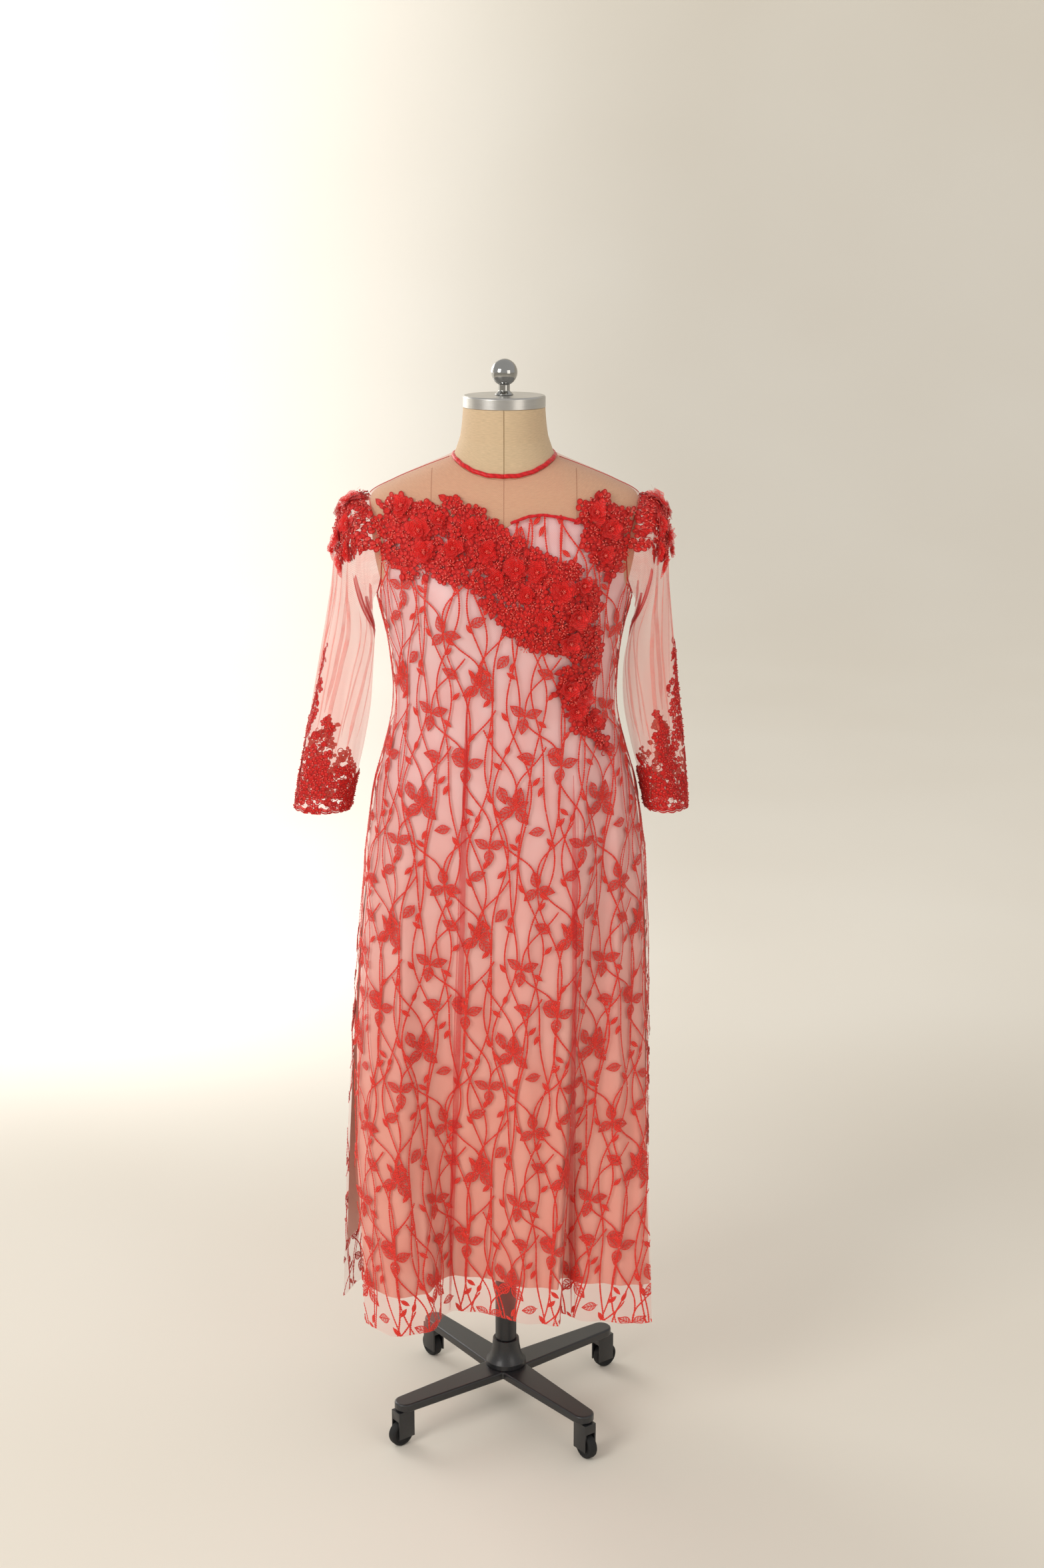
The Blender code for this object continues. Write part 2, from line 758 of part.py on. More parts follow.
def make_body_cloth():
    front_yoke = yoke_rows(FRONT_COLUMNS, True)
    cloth("front_yoke", front_yoke, "net")
    half = ZIP_HALF_SHARE
    left_back = [c for c in BACK_COLUMNS if c[0] < -half] + [(-half, 0, 0)]
    right_back = [(half, 0, 0)] + [c for c in BACK_COLUMNS if c[0] > half]
    cloth("back_yoke_left", yoke_rows(left_back, False), "net")
    cloth("back_yoke_right", yoke_rows(right_back, False), "net")
    front = panel_rows(FRONT_COLUMNS, FRONT_HEIGHTS, True)
    back = panel_rows(BACK_COLUMNS, BACK_HEIGHTS, False)
    cloth("front_panel", front, "net")
    cloth("back_panel", back, "net")
    front_lining = panel_rows(FRONT_COLUMNS, FRONT_LINING_HEIGHTS, True)
    back_lining = panel_rows(BACK_COLUMNS, BACK_LINING_HEIGHTS, False)
    cloth("front_lining", [inset_row(row, LINING_GAP) for row in front_lining], "satin")
    cloth("back_lining", [inset_row(row, LINING_GAP) for row in back_lining], "satin")


# Sleeves
def armhole_ring(side):
    """The armhole's edge, from the shoulder tip down the front and up the back, just outside."""
    front = []
    back = []
    for z in ARMHOLE_HEIGHTS:
        limit = side_limit(z)
        front.append(worn(limit, z))
        back.append(worn(math.pi - limit, z))
    corners = front + back[-2:0:-1]
    ring = []
    for k, p in enumerate(corners):
        following = corners[(k + 1) % len(corners)]
        for part in range(SLEEVE_SUBDIVISIONS):
            q = p.lerp(following, part / SLEEVE_SUBDIVISIONS)
            ring.append(Vector((side * (q.x + SLEEVE_SEAM), q.y, q.z)))
    return ring


SLEEVE_SIDES = (len(ARMHOLE_HEIGHTS) * 2 - 2) * SLEEVE_SUBDIVISIONS


def sleeve_table(side):
    return LEFT_SLEEVE if side > 0 else RIGHT_SLEEVE


def sleeve_ring_point(side, turn, position, lift=0.0):
    """A sleeve point after the armhole: turn 0 is the outer line, a quarter turn is the front."""
    table = sleeve_table(side)
    outer_x, outer_z, inner_x, inner_z, half_y, fold = (
        table.smooth(column, position - 1) for column in SLEEVE_COLUMNS)
    angle = 2 * math.pi * turn
    open_side = (1 + math.cos(angle)) / 2
    wave = fold * math.cos(SLEEVE_WAVES * angle + 0.5 * position + side) * (0.25 + 0.75 * open_side)
    middle = Vector(((outer_x + inner_x) / 2, 0, (outer_z + inner_z) / 2))
    half = Vector(((outer_x - inner_x) / 2, 0, (outer_z - inner_z) / 2))
    grow = 1 + (wave + lift) / half.length
    grow_y = 1 + (wave + lift) / half_y
    p = middle + half * (math.cos(angle) * grow)
    p.y = -half_y * math.sin(angle) * grow_y
    p.x *= side
    return p


def armhole_point(side, turn):
    """The armhole ring at any turn."""
    ring = armhole_ring(side)
    position = (turn % 1.0) * len(ring)
    k = int(position)
    return ring[k].lerp(ring[(k + 1) % len(ring)], position - k)


def sleeve_point(side, turn, position, lift=0.0):
    """A point anywhere on a sleeve, from the armhole at 0 to the cuff at 10."""
    turn %= 1.0
    if position >= 1:
        return sleeve_ring_point(side, turn, position, lift)
    edge = armhole_point(side, turn)
    first = sleeve_ring_point(side, turn, 1.0, lift)
    middle = Vector((0, 0, (TIP_Z + UNDERARM_Z) / 2))
    away = Vector((0, edge.y, edge.z - middle.z)).normalized() * lift
    return (edge + away).lerp(first, position)


SLEEVE_POSITIONS = (0, 0.5, 1, 1.5, 2, 3, 4, 5, 6, 7, 8, 9, 10)


def sleeve_rows(side, lift=0.0):
    return [[sleeve_point(side, k / SLEEVE_SIDES, position, lift) for k in range(SLEEVE_SIDES)]
            for position in SLEEVE_POSITIONS]


def make_sleeve(side):
    name = "left_sleeve" if side > 0 else "right_sleeve"
    cloth(name, sleeve_rows(side), "net", wrap=True, flip=side > 0)


def between_rows(rows, row, across):
    """A place between four points of a closed set of rows."""
    r = min(int(row), len(rows) - 2)
    c = int(across)
    down, over = row - r, across - c
    count = len(rows[0])
    top = rows[r][c % count].lerp(rows[r][(c + 1) % count], over)
    low = rows[r + 1][c % count].lerp(rows[r + 1][(c + 1) % count], over)
    return top.lerp(low, down)


class SleeveSkin:
    """The faceted sleeve, so that what lies on it follows its own points."""

    def __init__(self, side):
        self.base = sleeve_rows(side)
        self.raised = sleeve_rows(side, UNIT_LIFT)

    def at(self, turn, position, lift):
        places = SLEEVE_POSITIONS
        r = max(k for k in range(len(places) - 1) if places[k] <= position)
        row = r + (position - places[r]) / (places[r + 1] - places[r])
        across = (turn % 1.0) * SLEEVE_SIDES
        base = between_rows(self.base, row, across)
        raised = between_rows(self.raised, row, across)
        return base + (raised - base) * (lift / UNIT_LIFT)


def bump(a, b):
    """Relief of the corded flowers, from 0 to 1, over two distances along the cloth."""
    first = math.cos(2 * math.pi * a / APPLIQUE_PITCH + 1.7 * math.sin(b / APPLIQUE_PITCH * 2.3))
    second = math.cos(2 * math.pi * b / APPLIQUE_PITCH + 1.3 * math.sin(a / APPLIQUE_PITCH * 1.9))
    return 0.5 + 0.25 * (first + second)


def make_cuff_lace(side):
    """Corded lace round the sleeve's end, higher up the outer side, with a scalloped edge."""
    name = "left_cuff_lace" if side > 0 else "right_cuff_lace"
    skin = SleeveSkin(side)
    outer, inner = [], []
    for r in range(CUFF_ROWS + 1):
        share = r / CUFF_ROWS
        upper, lower = [], []
        for k in range(SLEEVE_SIDES):
            turn = k / SLEEVE_SIDES
            off = min(turn, 1 - turn) * 2 * math.pi
            climb = math.exp(-(off / CUFF_CLIMB_ANGLE) ** 2)
            top = CUFF_TOP_T + (CUFF_CLIMB_T - CUFF_TOP_T) * climb
            top += CUFF_TOP_WAVE * math.cos(CUFF_TOP_WAVES * off)
            end = CUFF_BOTTOM_T - CUFF_SCALLOP_T * abs(math.sin(CUFF_SCALLOPS * off / 2))
            position = top + (end - top) * share
            rise = (1 + math.cos(off)) / 4 * bump(off * CUFF_BUMP_REACH, position * CUFF_BUMP_STEP)
            height = APPLIQUE_THIN + APPLIQUE_BUMP * rise
            upper.append(skin.at(turn, position, CUFF_LIFT + height))
            lower.append(skin.at(turn, position, CUFF_LIFT))
        outer.append(upper)
        inner.append(lower)
    relief(name, outer, inner, "lace", wrap=True)


class WornCloth:
    """The faceted yoke and panel of one side, so that what lies on them follows their own points."""

    def __init__(self, is_front):
        columns = FRONT_COLUMNS if is_front else BACK_COLUMNS
        heights = FRONT_HEIGHTS if is_front else BACK_HEIGHTS
        self.facing = -1 if is_front else 1
        points, faces = [], []
        for rows in (yoke_rows(columns, is_front), panel_rows(columns, heights, is_front)):
            for r, row in enumerate(rows):
                start = len(points)
                points += row
                if r:
                    width = len(row)
                    faces += [(start - width + c, start + c, start + c + 1, start - width + c + 1)
                              for c in range(width - 1)]
        self.tree = BVHTree.FromPolygons(points, faces)

    def at(self, x, z):
        """The cloth's own point at a place of the front or back view, or None at a seam."""
        return self.tree.ray_cast(Vector((x, self.facing, z)), Vector((0, -self.facing, 0)))[0]


WORN_FRONT = WornCloth(True)
WORN_BACK = WornCloth(False)


# Corded applique
def front_surface(x, z):
    """The point and outward normal of the front at a place of the front view."""
    low, high = -math.pi / 2, math.pi / 2
    for _ in range(24):
        middle = (low + high) / 2
        if worn(middle, z).x < x:
            low = middle
        else:
            high = middle
    angle = (low + high) / 2
    step = 0.004

    def point(turn, height):
        p = worn(turn, height)
        growth = fold_growth(height, FRONT_HEM_Z)
        if growth > 0:
            shift = fold_shift(turn)
            p.x += shift[0] * growth
            p.y += shift[1] * growth
        return p

    here = point(angle, z)
    along = point(angle + step, z) - point(angle - step, z)
    down = point(angle, z - step) - point(angle, z + step)
    normal = down.cross(along).normalized()
    return WORN_FRONT.at(x, z) or here, normal


def fold_shift(angle):
    """How far the hem's folds move a front column that has this angle at the waist."""
    across = between([(share, s) for s, share in FRONT_SHARES], abs(angle) / (math.pi / 2))
    across = math.copysign(across, angle)
    x = between([(c[0], c[1]) for c in FRONT_COLUMNS], across)
    y = between([(c[0], c[2]) for c in FRONT_COLUMNS], across)
    flat = hem_flat(across, FRONT_HEM, FRONT_HEM_FLAT)
    return x - flat[0], y - flat[1]


def applique(name, lines, lift):
    """A corded piece from lines of (x, z) places across it, thin at its rim."""
    outer, inner = [], []
    last = len(lines) - 1
    for r, line in enumerate(lines):
        upper, lower = [], []
        for c, (x, z) in enumerate(line):
            here, normal = front_surface(x, z)
            rim = r in (0, last) or c in (0, len(line) - 1)
            height = APPLIQUE_THIN + (0 if rim else APPLIQUE_BUMP * bump(x, z))
            upper.append(here + normal * (lift + height))
            lower.append(here + normal * lift)
        outer.append(upper)
        inner.append(lower)
    relief(name, outer, inner, "lace")


def stations(table):
    """Stations along an applique table at an even step, each (key, first edge, second edge)."""
    along, first, second = table.columns
    start, end = table.values(along)[0], table.values(along)[-1]
    count = round(abs(end - start) / APPLIQUE_STEP)
    for k in range(count + 1):
        key = start + (end - start) * k / count
        yield key, table.straight(first, key), table.straight(second, key)


def lobe(distance, phase):
    return LOBE_DEPTH * (0.5 + 0.5 * math.cos(2 * math.pi * distance / LOBE_PITCH + phase))


def band_lines(table):
    lines = []
    for x, top, bottom in stations(table):
        top -= lobe(x, BAND_PHASES[0])
        bottom += lobe(x, BAND_PHASES[1])
        count = APPLIQUE_ACROSS - 1
        lines.append([(x, top + (bottom - top) * k / count) for k in range(APPLIQUE_ACROSS)])
    return lines


def cascade_lines(table):
    lines = []
    for z, left, right in stations(table):
        left += CASCADE_LOBE * lobe(z, CASCADE_PHASES[0])
        right -= CASCADE_LOBE * lobe(z, CASCADE_PHASES[1])
        count = APPLIQUE_ACROSS - 2
        lines.append([(left + (right - left) * k / count, z) for k in range(APPLIQUE_ACROSS - 1)])
    return lines


def make_shoulder_applique(side, first, last, reach):
    """Corded flowers over the head of a sleeve, from its points, between two of its columns."""
    name = "left_shoulder_applique" if side > 0 else "right_shoulder_applique"
    skin = SleeveSkin(side)
    outer, inner = [], []
    rows = len(SHOULDER_POSITIONS) + 2
    for r in range(rows):
        upper, lower = [], []
        for column in range(first, last + 1):
            across = 2 * (column - first) / (last - first) - 1
            end = reach - SHOULDER_ARCH * across ** 2 - SHOULDER_LOBE * math.cos(column * SHOULDER_LOBE_TURN)
            before = 3.0 if end > SHOULDER_LONG else (SHOULDER_POSITIONS[-1] + end) / 2
            position = (SHOULDER_POSITIONS + (before, end))[r]
            rim = r in (0, rows - 1) or column in (first, last)
            rise = 0 if rim else bump(column * SHOULDER_BUMP_ACROSS, r * SHOULDER_BUMP_DOWN)
            height = APPLIQUE_THIN + APPLIQUE_BUMP * rise
            turn = column / SLEEVE_SIDES
            upper.append(skin.at(turn, position, SHOULDER_LIFT + height))
            lower.append(skin.at(turn, position, SHOULDER_LIFT))
        outer.append(upper)
        inner.append(lower)
    relief(name, outer, inner, "lace")


def make_applique():
    applique("bust_applique", band_lines(BUST_BAND), BUST_LIFT)
    applique("hip_applique", cascade_lines(CASCADE), HIP_LIFT)
    applique("left_bust_applique", band_lines(LEFT_BUST_BAND), BUST_LIFT)
    make_shoulder_applique(1, -3, 7, 3.0)
    make_shoulder_applique(-1, -3, 8, 3.4)


# Binding, piping and zip
def make_trim():
    ring = []
    for k in range(BINDING_POINTS):
        angle = 2 * math.pi * k / BINDING_POINTS
        edge = worn(angle, neck_z(angle) - EDGE_INSET)
        below = worn(angle, neck_z(angle) - EDGE_REACH)
        up = (edge - below).normalized()
        ring.append(edge + up * (BINDING_RADIUS + BINDING_CLEAR))
    tube("neck_binding", ring, BINDING_RADIUS, "binding", cyclic=True, sides=1)
    piping = []
    for k in range(PIPING_POINTS):
        x = PIPING_START_X + (PIPING_END_X - PIPING_START_X) * k / (PIPING_POINTS - 1)
        here, normal = front_surface(x, sweetheart_z(x))
        piping.append(here + normal * (PIPING_RADIUS + PIPING_CLEAR))
    tube("sweetheart_piping", piping, PIPING_RADIUS, "binding", sides=1)


def back_frame(z):
    """The centre back at a height: point, outward normal and the way down the cloth."""
    here = worn(math.pi, z)
    down = (worn(math.pi, z - EDGE_REACH) - worn(math.pi, z + EDGE_REACH)).normalized()
    return here, Vector((0, -down.z, down.y)).normalized(), down


def back_surface(x, z):
    here, normal, _ = back_frame(z)
    return WORN_BACK.at(x, z) or here + Vector((x, 0, 0)), normal


def make_zip():
    """A concealed zip: the closed tape ridge, its slider and the drop-shaped pull."""
    outer, inner = [], []
    yoke_top, yoke_bottom = neck_z(math.pi), YOKE_SIDE_HEIGHTS[-1]
    heights = [yoke_top - ZIP_DROP]
    for side_z in YOKE_SIDE_HEIGHTS[1:]:
        share = (YOKE_SIDE_HEIGHTS[0] - side_z) / (YOKE_SIDE_HEIGHTS[0] - yoke_bottom)
        heights.append(yoke_top + (yoke_bottom - yoke_top) * share)
    heights += [z for z in BACK_HEIGHTS if z >= ZIP_BOTTOM_Z]
    for z in heights:
        upper, lower = [], []
        for share in (-1, 0, 1):
            here, normal = back_surface(share * ZIP_HALF_WIDTH, z)
            rise = ZIP_THICK * (1 if share == 0 else ZIP_EDGE_SHARE)
            upper.append(here + normal * (TRIM_LIFT + rise))
            lower.append(here + normal * TRIM_LIFT)
        outer.append(upper)
        inner.append(lower)
    relief("back_zip", outer, inner, "binding")
    here = WORN_BACK.at(0, SLIDER_Z)
    above = WORN_BACK.at(0, SLIDER_Z + SLIDER_LONG / 2)
    below = WORN_BACK.at(0, SLIDER_Z - SLIDER_LONG / 2)
    down = (below - above).normalized()
    normal = Vector((0, -down.z, down.y))
    frame = Matrix((
        (1, 0, 0, here.x + AXIS_X),
        (0, down.y, normal.y, here.y + AXIS_Y),
        (0, down.z, normal.z, here.z),
        (0, 0, 0, 1),
    ))
    base_h = TRIM_LIFT + ZIP_THICK + SEAM
    pin_h = base_h + SLIDER_THICK + EAR_HIGH - PULL_PIN_DROP
    slider = box_object("zip_slider", (SLIDER_WIDE, SLIDER_LONG, SLIDER_THICK),
                        (0, 0, base_h + SLIDER_THICK / 2), frame, "steel")
    ear_x = PULL_WIDE / 2 - EAR_INSET + EAR_THICK / 2
    for sign in (-1, 1):
        ear = box_object("ear_%d" % sign, (EAR_THICK, EAR_LONG, EAR_HIGH + EAR_SINK),
                         (sign * ear_x, 0, base_h + SLIDER_THICK + (EAR_HIGH - EAR_SINK) / 2), frame,
                         "steel", cutter=True)
        union(slider, ear)
    shape = bmesh.new()
    bmesh.ops.create_cone(shape, cap_ends=True, segments=PULL_SIDES, radius1=PULL_PIN_RADIUS,
                          radius2=PULL_PIN_RADIUS, depth=2 * ear_x)
    bmesh.ops.transform(shape, matrix=frame @ Matrix.Translation((0, 0, pin_h))
                        @ Matrix.Rotation(math.pi / 2, 4, "Y"), verts=shape.verts)
    union(slider, cutter_object("pull_pin", shape))
    make_pull(frame, pin_h)


def make_pull(frame, pin_h):
    """The pull hangs from the pin: an eye with a drop-shaped plate below it."""
    eye_r = PULL_PIN_RADIUS + PULL_CLEAR
    rim = eye_r + PULL_RIM
    eye_half = PULL_WIDE / 2 - EAR_INSET - PULL_CLEAR
    shape = bmesh.new()
    rings = []
    sides = PULL_SIDES
    for radius in (eye_r, rim):
        for x in (-eye_half, eye_half):
            rings.append([shape.verts.new((x, radius * math.cos(2 * math.pi * k / sides),
                                           radius * math.sin(2 * math.pi * k / sides)))
                          for k in range(sides)])
    for a, b in ((0, 1), (2, 3), (0, 2), (1, 3)):
        for k in range(sides):
            n = (k + 1) % sides
            shape.faces.new((rings[a][k], rings[a][n], rings[b][n], rings[b][k]))
    bmesh.ops.recalc_face_normals(shape, faces=shape.faces)
    place = (frame @ Matrix.Translation((0, 0, pin_h))
             @ Matrix.Rotation(math.radians(-PULL_LEAN), 4, "X"))
    bmesh.ops.transform(shape, matrix=place, verts=shape.verts)
    mesh = bpy.data.meshes.new("zip_pull")
    shape.to_mesh(mesh)
    shape.free()
    pull = add_object("zip_pull", mesh, "steel")
    plate = bmesh.new()
    outline = []
    for k in range(PULL_SIDES + 1):
        turn = math.pi * k / PULL_SIDES
        outline.append((PULL_DROP_HALF * math.cos(turn),
                        PULL_LONG - PULL_DROP_HALF + PULL_DROP_HALF * math.sin(turn)))
    outline += [(side * PULL_NECK_HALF, rim - PULL_NECK_SINK) for side in (-1, 1)]
    face = plate.faces.new([plate.verts.new((x, y, -PULL_THICK / 2)) for x, y in outline])
    grown = bmesh.ops.extrude_face_region(plate, geom=[face])
    verts = [v for v in grown["geom"] if isinstance(v, bmesh.types.BMVert)]
    bmesh.ops.translate(plate, vec=(0, 0, PULL_THICK), verts=verts)
    bmesh.ops.recalc_face_normals(plate, faces=plate.faces)
    bmesh.ops.transform(plate, matrix=place, verts=plate.verts)
    union(pull, cutter_object("pull_plate", plate))


def box_object(name, size, centre, frame, kind, cutter=False):
    shape = bmesh.new()
    bmesh.ops.create_cube(shape, size=1)
    bmesh.ops.scale(shape, vec=size, verts=shape.verts)
    bmesh.ops.transform(shape, matrix=frame @ Matrix.Translation(centre), verts=shape.verts)
    if cutter:
        return cutter_object(name, shape)
    mesh = bpy.data.meshes.new(name)
    shape.to_mesh(mesh)
    shape.free()
    return add_object(name, mesh, kind)


def cutter_object(name, shape):
    """A shape that a Boolean uses, left out of the build."""
    bmesh.ops.recalc_face_normals(shape, faces=shape.faces)
    mesh = bpy.data.meshes.new(name)
    shape.to_mesh(mesh)
    shape.free()
    made = bpy.data.objects.new(name, mesh)
    CUTTERS.objects.link(made)
    made.hide_render = True
    made.display_type = "WIRE"
    return made


def union(target, other, operation="UNION"):
    step = target.modifiers.new(operation.lower(), "BOOLEAN")
    step.operation = operation
    step.object = other


# Dress form
def form_gap(z):
    return FORM_GAP.straight("gap", z)


def make_form():
    """The padded body of the form, from the neck's top to its flat underside."""
    rows = []
    for wide, front_y, back_y, side_z, front_z, back_z in NECK_RINGS.rows:
        row = []
        for k in range(FORM_SEGMENTS):
            angle = 2 * math.pi * k / FORM_SEGMENTS
            is_front = math.cos(angle) > 0
            z = side_z + ((front_z if is_front else back_z) - side_z) * math.cos(angle) ** 2
            deep = front_y if is_front else back_y
            row.append(Vector((wide * math.sin(angle), -deep * math.cos(angle), z)))
        rows.append(row)
    for ring in (0.0, 1.0, 2.0, 3.0, 4.0):
        row = []
        for k in range(FORM_SEGMENTS):
            angle = 2 * math.pi * k / FORM_SEGMENTS
            z = ring_z(angle, ring)
            gap = form_gap(z) + FORM_SHOULDER_GAP * min(ring / 2, 1) * abs(math.sin(angle)) ** 6
            slope = max(0.0, 1 - ring / 4)
            row.append(worn(angle, z, gap, gap * slope))
        rows.append(row)
    for z in FORM_HEIGHTS:
        gap = form_gap(z)
        rows.append([worn(2 * math.pi * k / FORM_SEGMENTS, z, gap) for k in range(FORM_SEGMENTS)])
    mesh = grid_mesh("dress_form", rows, wrap=True)
    shape = bmesh.new()
    shape.from_mesh(mesh)
    bmesh.ops.holes_fill(shape, edges=[e for e in shape.edges if e.is_boundary])
    bmesh.ops.triangulate(shape, faces=[f for f in shape.faces if len(f.verts) > 4])
    bmesh.ops.recalc_face_normals(shape, faces=shape.faces)
    shape.to_mesh(mesh)
    shape.free()
    made = add_object("dress_form", mesh, "linen")
    made.data.shade_smooth()


def make_head():
    """The turned neck cap and the ball on its short stem."""
    top = CAP_BASE_Z + CAP_HEIGHT
    turned("neck_cap", (
        (0, top), (CAP_RADIUS - CAP_EDGE, top), (CAP_RADIUS, top - CAP_EDGE),
        (CAP_RADIUS, CAP_BASE_Z + CAP_EDGE), (CAP_RADIUS - CAP_EDGE, CAP_BASE_Z),
        (0, CAP_BASE_Z)), "steel", 32)
    foot = top + SEAM
    middle = foot + STEM_HEIGHT + BALL_RADIUS
    join = math.asin(STEM_NECK_RADIUS / BALL_RADIUS)
    profile = []
    for k in range(BALL_STEPS + 1):
        turn = (math.pi - join) * k / BALL_STEPS
        profile.append((BALL_RADIUS * math.sin(turn), middle + BALL_RADIUS * math.cos(turn)))
    profile[0] = (0, middle + BALL_RADIUS)
    profile += [(STEM_NECK_RADIUS, foot + STEM_NECK_BOTTOM), (STEM_RADIUS, foot + STEM_FOOT_TOP),
                (STEM_FOOT_RADIUS, foot), (0, foot)]
    turned("finial", profile, "steel", 16)


# Stand
def make_pole():
    under = FORM_BOTTOM_Z - SEAM
    turned("form_flange", (
        (0, under), (FLANGE_RADIUS, under), (FLANGE_RADIUS, under - FLANGE_THICK),
        (0, under - FLANGE_THICK)), "iron", 32)
    pole_top = under - FLANGE_THICK - SEAM
    collar_top = SLEEVE_TUBE_TOP_Z + SEAM + COLLAR_HEIGHT
    turned("pole", (
        (0, pole_top), (POLE_RADIUS, pole_top), (POLE_RADIUS, collar_top + SEAM),
        (0, collar_top + SEAM)), "steel", 20)
    turned("height_collar", (
        (0, collar_top), (COLLAR_RADIUS, collar_top), (COLLAR_RADIUS, SLEEVE_TUBE_TOP_Z + SEAM),
        (0, SLEEVE_TUBE_TOP_Z + SEAM)), "iron", 20)
    socket_top = BASE_TOP_Z + SEAM + SOCKET_HEIGHT
    turned("pole_tube", (
        (0, SLEEVE_TUBE_TOP_Z), (SLEEVE_TUBE_RADIUS, SLEEVE_TUBE_TOP_Z),
        (SLEEVE_TUBE_RADIUS, socket_top + SEAM), (0, socket_top + SEAM)), "iron", 20)
    turned("pole_socket", (
        (0, socket_top), (SLEEVE_TUBE_RADIUS + SOCKET_LIP, socket_top),
        (SOCKET_RADIUS, BASE_TOP_Z + SOCKET_SKIRT), (SOCKET_RADIUS, BASE_TOP_Z + SEAM),
        (0, BASE_TOP_Z + SEAM)), "iron", 24)


def leg_angle(k):
    return math.radians(LEG_FIRST_ANGLE + k * 360 / LEG_COUNT)


def make_base():
    """A flat cross of four tapered legs with round ends."""
    data = bpy.data.curves.new("stand_base", "CURVE")
    data.dimensions = "2D"
    data.fill_mode = "BOTH"
    data.extrude = BASE_THICK / 2
    line = data.splines.new("POLY")
    outline = []
    for k in range(LEG_COUNT):
        along = Vector((math.cos(leg_angle(k)), math.sin(leg_angle(k))))
        side = Vector((-along.y, along.x))
        outline.append(along * LEG_ROOT_HALF * LEG_ROOT_SHARE - side * LEG_ROOT_HALF)
        for step in range(LEG_TIP_STEPS + 1):
            turn = math.pi * step / LEG_TIP_STEPS - math.pi / 2
            outline.append(along * (LEG_REACH + LEG_TIP_HALF * math.cos(turn))
                           + side * LEG_TIP_HALF * math.sin(turn))
    line.points.add(len(outline) - 1)
    for slot, p in zip(line.points, outline):
        slot.co = (p.x, p.y, 0, 1)
    line.use_cyclic_u = True
    made = bpy.data.objects.new("stand_base", data)
    made.location = (AXIS_X, AXIS_Y, BASE_TOP_Z - BASE_THICK / 2)
    PARTS.objects.link(made)
    data.materials.append(material("iron"))


def caster_frame(k):
    """The swivel's place under a leg: X runs out along the leg."""
    angle = leg_angle(k)
    return (Matrix.Translation((AXIS_X + LEG_REACH * math.cos(angle),
                                AXIS_Y + LEG_REACH * math.sin(angle), 0))
            @ Matrix.Rotation(angle, 4, "Z"))


def make_caster(k):
    """A U-shaped fork with its axle, and a wheel that stands on a flat of its rim."""
    frame = caster_frame(k)
    top = BASE_TOP_Z - BASE_THICK - SEAM
    inner = WHEEL_HALF_WIDTH + FORK_SIDE_CLEAR
    wide = inner + FORK_THICK
    name = "caster_fork_%d" % (k + 1)
    bottom = WHEEL_RADIUS - FORK_BELOW_HUB
    fork = box_object(name, (2 * FORK_HALF_LONG + TRAIL, 2 * wide, top - bottom),
                      (TRAIL / 2, 0, (top + bottom) / 2), frame, "iron")
    room_top = 2 * WHEEL_RADIUS + FORK_ROOM_ABOVE
    room = box_object("fork_room_%d" % k, (FORK_ROOM_LONG, 2 * inner, room_top),
                      (TRAIL / 2, 0, room_top / 2), frame, "iron", cutter=True)
    union(fork, room, "DIFFERENCE")
    axle = bmesh.new()
    bmesh.ops.create_cone(axle, cap_ends=True, segments=16, radius1=AXLE_RADIUS, radius2=AXLE_RADIUS,
                          depth=2 * inner + FORK_THICK)
    hub = frame @ Matrix.Translation((TRAIL, 0, WHEEL_RADIUS)) @ Matrix.Rotation(math.pi / 2, 4, "X")
    bmesh.ops.transform(axle, matrix=hub, verts=axle.verts)
    union(fork, cutter_object("axle_%d" % k, axle))
    make_wheel(k, hub)


def make_wheel(k, hub):
    rim = WHEEL_RADIUS / math.cos(math.pi / WHEEL_SIDES)
    name = "caster_wheel_%d" % (k + 1)
    half = WHEEL_HALF_WIDTH
    face = rim * WHEEL_FACE_SHARE
    tread = half - WHEEL_CHAMFER
    profile = (
        (WHEEL_BORE, half), (face, half), (rim, tread), (rim, -tread), (face, -half), (WHEEL_BORE, -half))
    shape = bmesh.new()
    rings = []
    for step in range(WHEEL_SIDES):
        angle = 2 * math.pi * (step + 0.5) / WHEEL_SIDES
        rings.append([shape.verts.new((r * math.sin(angle), r * math.cos(angle), z))
                      for r, z in profile])
    for a, b in zip(rings, rings[1:] + rings[:1]):
        for p in range(len(a)):
            n = (p + 1) % len(a)
            shape.faces.new((a[p], a[n], b[n], b[p]))
    bmesh.ops.recalc_face_normals(shape, faces=shape.faces)
    bmesh.ops.transform(shape, matrix=hub, verts=shape.verts)
    mesh = bpy.data.meshes.new(name)
    shape.to_mesh(mesh)
    shape.free()
    made = add_object(name, mesh, "rubber")
    made.data.shade_smooth()


def main():
    make_body_cloth()
    for side in (1, -1):
        make_sleeve(side)
        make_cuff_lace(side)
    make_applique()
    make_trim()
    make_zip()
    make_form()
    make_head()
    make_pole()
    make_base()
    for k in range(LEG_COUNT):
        make_caster(k)


main()
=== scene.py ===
"""Looks of a lace tunic on a dress form: sheer net, beaded embroidery, corded flowers, satin and stand.

Metres, +Z up. The tunic's front faces -Y, and +X is the wearer's left.
Cloth is mapped from plane grids to one worn surface, which rings from the neck to the hip describe.
Lace is drawn flat, in metres across and up the cloth, and is then laid on that surface.
"""
import functools
import math

import bmesh
import bpy
import numpy as np
from bpy.props import FloatProperty, FloatVectorProperty, IntProperty, PointerProperty
from bpy.types import Operator, Panel, PropertyGroup
from mathutils import Matrix, Vector


